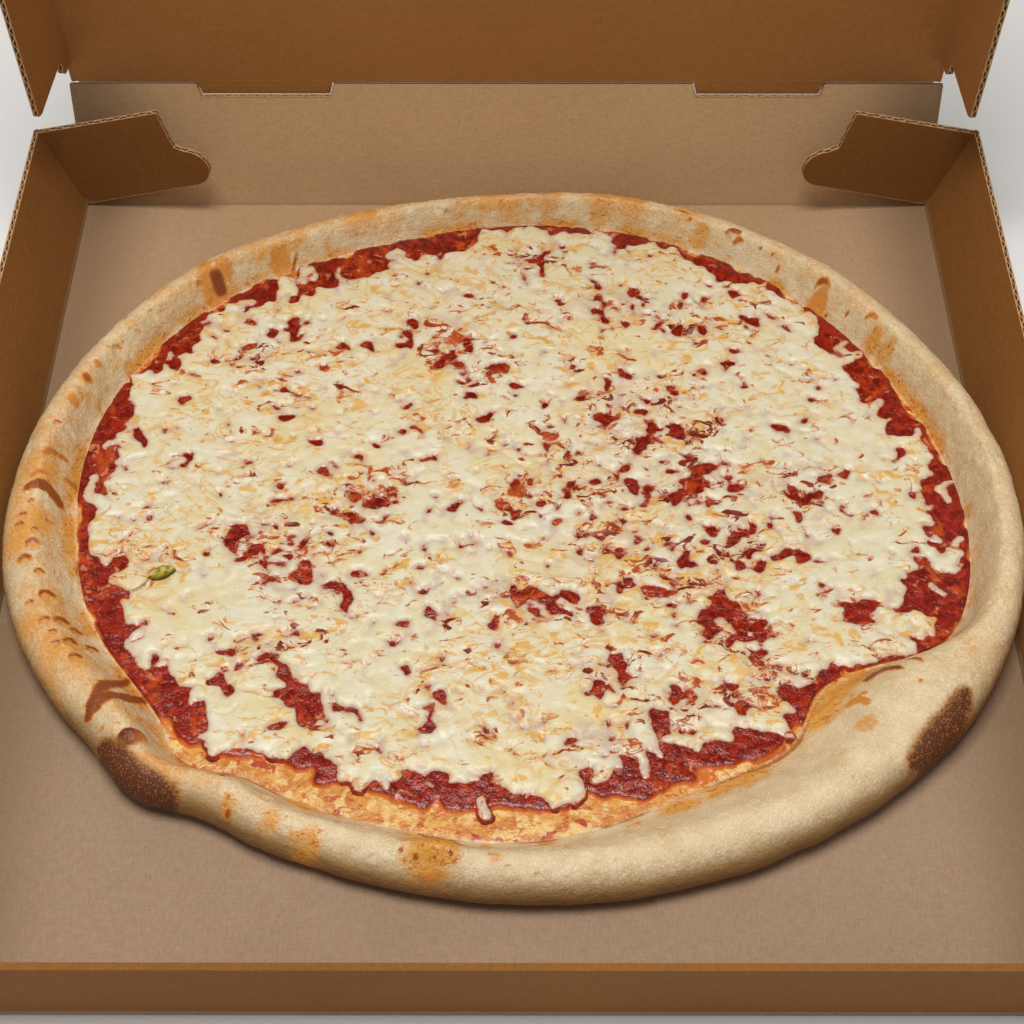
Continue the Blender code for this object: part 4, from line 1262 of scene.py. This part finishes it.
def read_map(values, x, y):
    """A map's value at any place, blended between the four nearest cells."""
    fx = np.clip((x + LAY_HALF_X) / LAY_CELL, 0, values.shape[0] - 1.001)
    fy = np.clip((y - LAY_MIDDLE_Y + LAY_HALF_Y) / LAY_CELL, 0, values.shape[1] - 1.001)
    i = fx.astype(int)
    j = fy.astype(int)
    a = fx - i
    b = fy - j
    near_row = values[i, j] * (1 - a) + values[i + 1, j] * a
    far_row = values[i, j + 1] * (1 - a) + values[i + 1, j + 1] * a
    return near_row * (1 - b) + far_row * b


net_x, net_y, net_share, net_angle = disc_net(CHEESE_NET)
warp_x = net_x + WARP * flat_noise(net_x, net_y, 3.4, 2, 81)
warp_y = net_y + WARP * flat_noise(net_x, net_y, 3.4, 2, 84)
layers = read_map(laid, warp_x, warp_y)
pitted = read_map(pits, warp_x, warp_y)
over = layers - SINK_AT
thick = np.where(over > 0.0, CHEESE_FULL * (1 - np.exp(-over / MELT_REACH)), over * SINK_SLOPE)
thick = thick - PIT_DEPTH * pitted * smooth(thick, 0.0, 0.8)
thick = np.maximum(thick, -SINK_MOST)
swell = 0.34 * flat_noise(net_x, net_y, 15.0, 2, 71) + 0.10 * flat_noise(net_x, net_y, 3.2, 2, 75)
sunk = np.where(thick < 0.0, SINK_DEPTH * thick, thick)
cheese_level = SAUCE_LEVEL + CHEESE_LIFT + sunk + swell * smooth(thick, 0.0, 1.5)
cheese_net = np.stack([net_x * MM, net_y * MM, PIZZA_BASE + cheese_level * MM], axis=-1)
cheese_up = net_normals(cheese_net)
cheese_red = redness_at(net_x, net_y)
print("cheese open share", (thick < 0.2).mean().round(3))

# %% [markdown]
# Melted cheese is cream in colour, lilac and glassy where it is thin over the sauce, and flecked with amber
# oil that gathers in short threads. Sauce shows through pin holes too small for the mesh, so the colour
# turns red by the same thickness, sharpened with fine noise.


# %% Cheese material
def cheese_material():
    """Cream melt, lilac where thin, red where open, with amber flecks, wisps and torn red-brown marks."""
    material, place = start_material("melted_cheese", Specular_IOR_Level=0.5, Coat_Roughness=0.1)
    depth = attribute(place, "thickness")
    redness = attribute(place, "redness")
    lain = place.stretch((0.75, 1.15, 1.0), 0.12)
    streaks = lain.noise(110.0, 3.0, 0.6, 0.8)
    fine = lain.noise(420.0, 3.0, 0.6, 0.5)
    finer = place.noise(1100.0, 2.0, 0.5)
    wide = lain.noise(46.0, 2.0, 0.5)
    patches = place.noise(60.0, 2.0, 0.5).step(0.42, 0.60)
    thin_by = depth + (fine - 0.5) * 0.8 + (finer - 0.5) * 0.4
    cream = shades(streaks.step(0.34, 0.64), (216, 212, 190), (212, 202, 164))
    buttery = paint(cream, [(place.noise(30.0, 3.0, 0.6), 0.48, 0.68, (214, 192, 128), 0.5)])
    haze = (redness * 0.55 + wide * 0.8).step(0.50, 0.90) * streaks.step(0.40, 0.60) * 0.7
    glassy = (thin_by.step(1.25, 0.40) * 0.9).larger(haze).mix(buttery, srgb(192, 172, 158))
    bent = lain.noise(60.0, 3.0, 0.55, 1.6)
    wisps = abs(bent - 0.5).step(0.040, 0.004) * lain.noise(38.0, 2.0, 0.5).step(0.42, 0.58)
    flecks = lain.noise(165.0, 3.0, 0.6, 0.8).step(0.545, 0.63) * lain.noise(50.0, 2.0, 0.5).step(0.40, 0.56)
    stained = (wisps * 0.65).larger(flecks * 0.85).mix(glassy, srgb(212, 158, 60))
    gate = (redness * 0.65 + wide * 0.9).step(0.40, 0.92)
    line = 1 - abs(lain.noise(70.0, 2.5, 0.55, 1.9) - 0.5) * 30.0
    broken = line * lain.noise(150.0, 2.0, 0.5, 0.5).step(0.42, 0.60)
    blots = (lain.noise(150.0, 3.0, 0.6, 1.0) - 0.5) * 6.6
    mark = blots.larger(broken) * (0.66 + gate * 0.50)
    fringed = paint(stained, [(mark, 0.40, 0.72, (196, 116, 46), 0.8)])
    marked = mark.step(0.66, 0.90).mix(fringed, shades(patches, (104, 22, 10), (172, 72, 24)))
    edged = paint(marked, [(thin_by, 0.46, 0.22, (182, 112, 76))])
    sauce_tone = shades(fine.step(0.35, 0.62), (100, 14, 8), (164, 50, 20))
    colour = thin_by.step(0.28, 0.08).mix(edged, sauce_tone)
    relief = fine * 0.5 + finer * 0.2 - mark.step(0.5, 0.9) * 0.5
    return finish_material(material, Base_Color=colour, Roughness=0.34 + streaks * 0.2,
                           Coat_Weight=thin_by.step(0.8, 0.1) * 0.35, Normal=relief.bump(0.0006, 0.45))


melted = cheese_material()
first_half = slice(0, CHEESE_NET // 2 + 1)
second_half = slice(CHEESE_NET // 2, None)
quarters = ((first_half, first_half), (second_half, first_half), (second_half, second_half),
            (first_half, second_half))
for number, part in enumerate(quarters, 1):
    points, quads, triangles = close_net(cheese_net[part], PIZZA_BASE + (BED - CHEESE_SKIRT) * MM)
    values = {"thickness": with_skirt(thick[part], len(points)),
              "redness": with_skirt(cheese_red[part], len(points))}
    quarter = make_piece("melted_cheese_%d" % number, points, quads, triangles, melted,
                         "tray", ["pizza_cheese"], values)
    up = np.tile((0.0, 0.0, -1.0), (len(points), 1))
    up[:thick[part].size] = cheese_up[part].reshape(-1, 3)
    quarter.data.normals_split_custom_set_from_vertices(up.tolist())

# %% [markdown]
# One fleck of herb has landed on the left. Its blade is a pointed oval folded a little along the midrib,
# and its dry stem is a tapering tube along a bowed path.

# %% Herb leaf
LEAF_AT = (-138.2, -24.6)
LEAF_TURN = math.radians(12.0)
LEAF_LENGTH = 11.5
LEAF_WIDTH = 5.2
LEAF_LEVEL = 12.1
LEAF_SKIRT = 0.8
STEM_SIDES = 8
STEM_PATH = ((-4.6, -1.0), (-6.6, -3.4), (-9.6, -5.4), (-12.6, -6.2))


def leaf_blade():
    """The blade: its half width goes as (1 - u^2)^0.7 along it, and its height rises from the midrib."""
    u, v = np.meshgrid(np.linspace(-1.0, 1.0, 49), np.linspace(-1.0, 1.0, 25), indexing="ij")
    half = LEAF_WIDTH / 2 * np.clip(1 - u ** 2, 0.0008, 1.0) ** 0.7 * (1 - 0.22 * u)
    ruffle = 0.12 * np.sin(9.0 * u + 1.3) * v ** 2
    x = LEAF_LENGTH / 2 * u
    y = half * v + 0.5 * np.sin(1.6 * u)
    z = LEAF_LEVEL + 0.22 * half * np.abs(v) + 0.35 * np.sin(2.2 * u + 0.4) + ruffle
    return place_on_leaf(np.stack([x, y, z], axis=-1)), np.abs(v)


def place_on_leaf(points):
    """Points in the leaf's own millimetres, turned and moved to its place on the pizza."""
    x, y = turned_by(-LEAF_TURN, points[..., 0], points[..., 1])
    return np.stack([x + LEAF_AT[0], y + LEAF_AT[1], points[..., 2]], axis=-1) * MM


def stem_tube():
    """The stem: rings of eight points along the path, thinner toward its dry end."""
    share = np.linspace(0.0, 1.0, 24)
    x, y = [np.interp(share, np.linspace(0.0, 1.0, len(STEM_PATH)), line) for line in zip(*STEM_PATH)]
    ring = np.linspace(0.0, 2 * math.pi, STEM_SIDES, endpoint=False)
    radius = 0.42 - 0.20 * share[:, None]
    rings = np.stack([x[:, None] + radius * 0.5 * np.cos(ring), y[:, None] + radius * np.cos(ring),
                      LEAF_LEVEL + 0.1 - 0.5 * share[:, None] + radius * np.sin(ring)], axis=-1)
    return place_on_leaf(rings)


def leaf_material():
    """Olive green with yellow patches, a pale midrib, a dark edge and a brown stem."""
    material, place = start_material("herb_green", Specular_IOR_Level=0.5)
    rib = attribute(place, "from_rib")
    blot = place.noise(420.0, 3.0, 0.6)
    green = shades(blot.step(0.38, 0.62), (112, 106, 14), (176, 158, 28))
    colour = paint(green, [(rib, 0.7, 1.0, (100, 86, 14)), (rib, 0.10, 0.02, (176, 160, 70)),
                           (rib, 1.5, 1.9, (128, 70, 30))])
    gloss = 0.32 + blot * 0.2
    return finish_material(material, Base_Color=colour, Roughness=gloss, Normal=blot.bump(0.0004, 0.5))


blade, from_rib = leaf_blade()
points, quads, triangles = close_net(blade, (LEAF_LEVEL - LEAF_SKIRT) * MM)
tube = stem_tube()
tube_start = len(points)
tube_quads = grid_faces(*tube.shape[:2], True) + tube_start
tube_last = tube_start + tube.shape[0] * tube.shape[1]
ends = [fan(tube_start, STEM_SIDES, tube_last, False),
        fan(tube_last - STEM_SIDES, STEM_SIDES, tube_last + 1, True)]
tube_points = [tube.reshape(-1, 3), tube[0].mean(axis=0)[None], tube[-1].mean(axis=0)[None]]
points = np.concatenate([points, *tube_points])
values = np.full(len(points), 2.0)
values[:tube_start] = 1.0
values[:from_rib.size] = from_rib.ravel()
make_piece("herb_leaf_blade", points, np.concatenate([quads, tube_quads]), np.concatenate([triangles, *ends]),
           leaf_material(), "tray", ["herb_leaf"], {"from_rib": values})
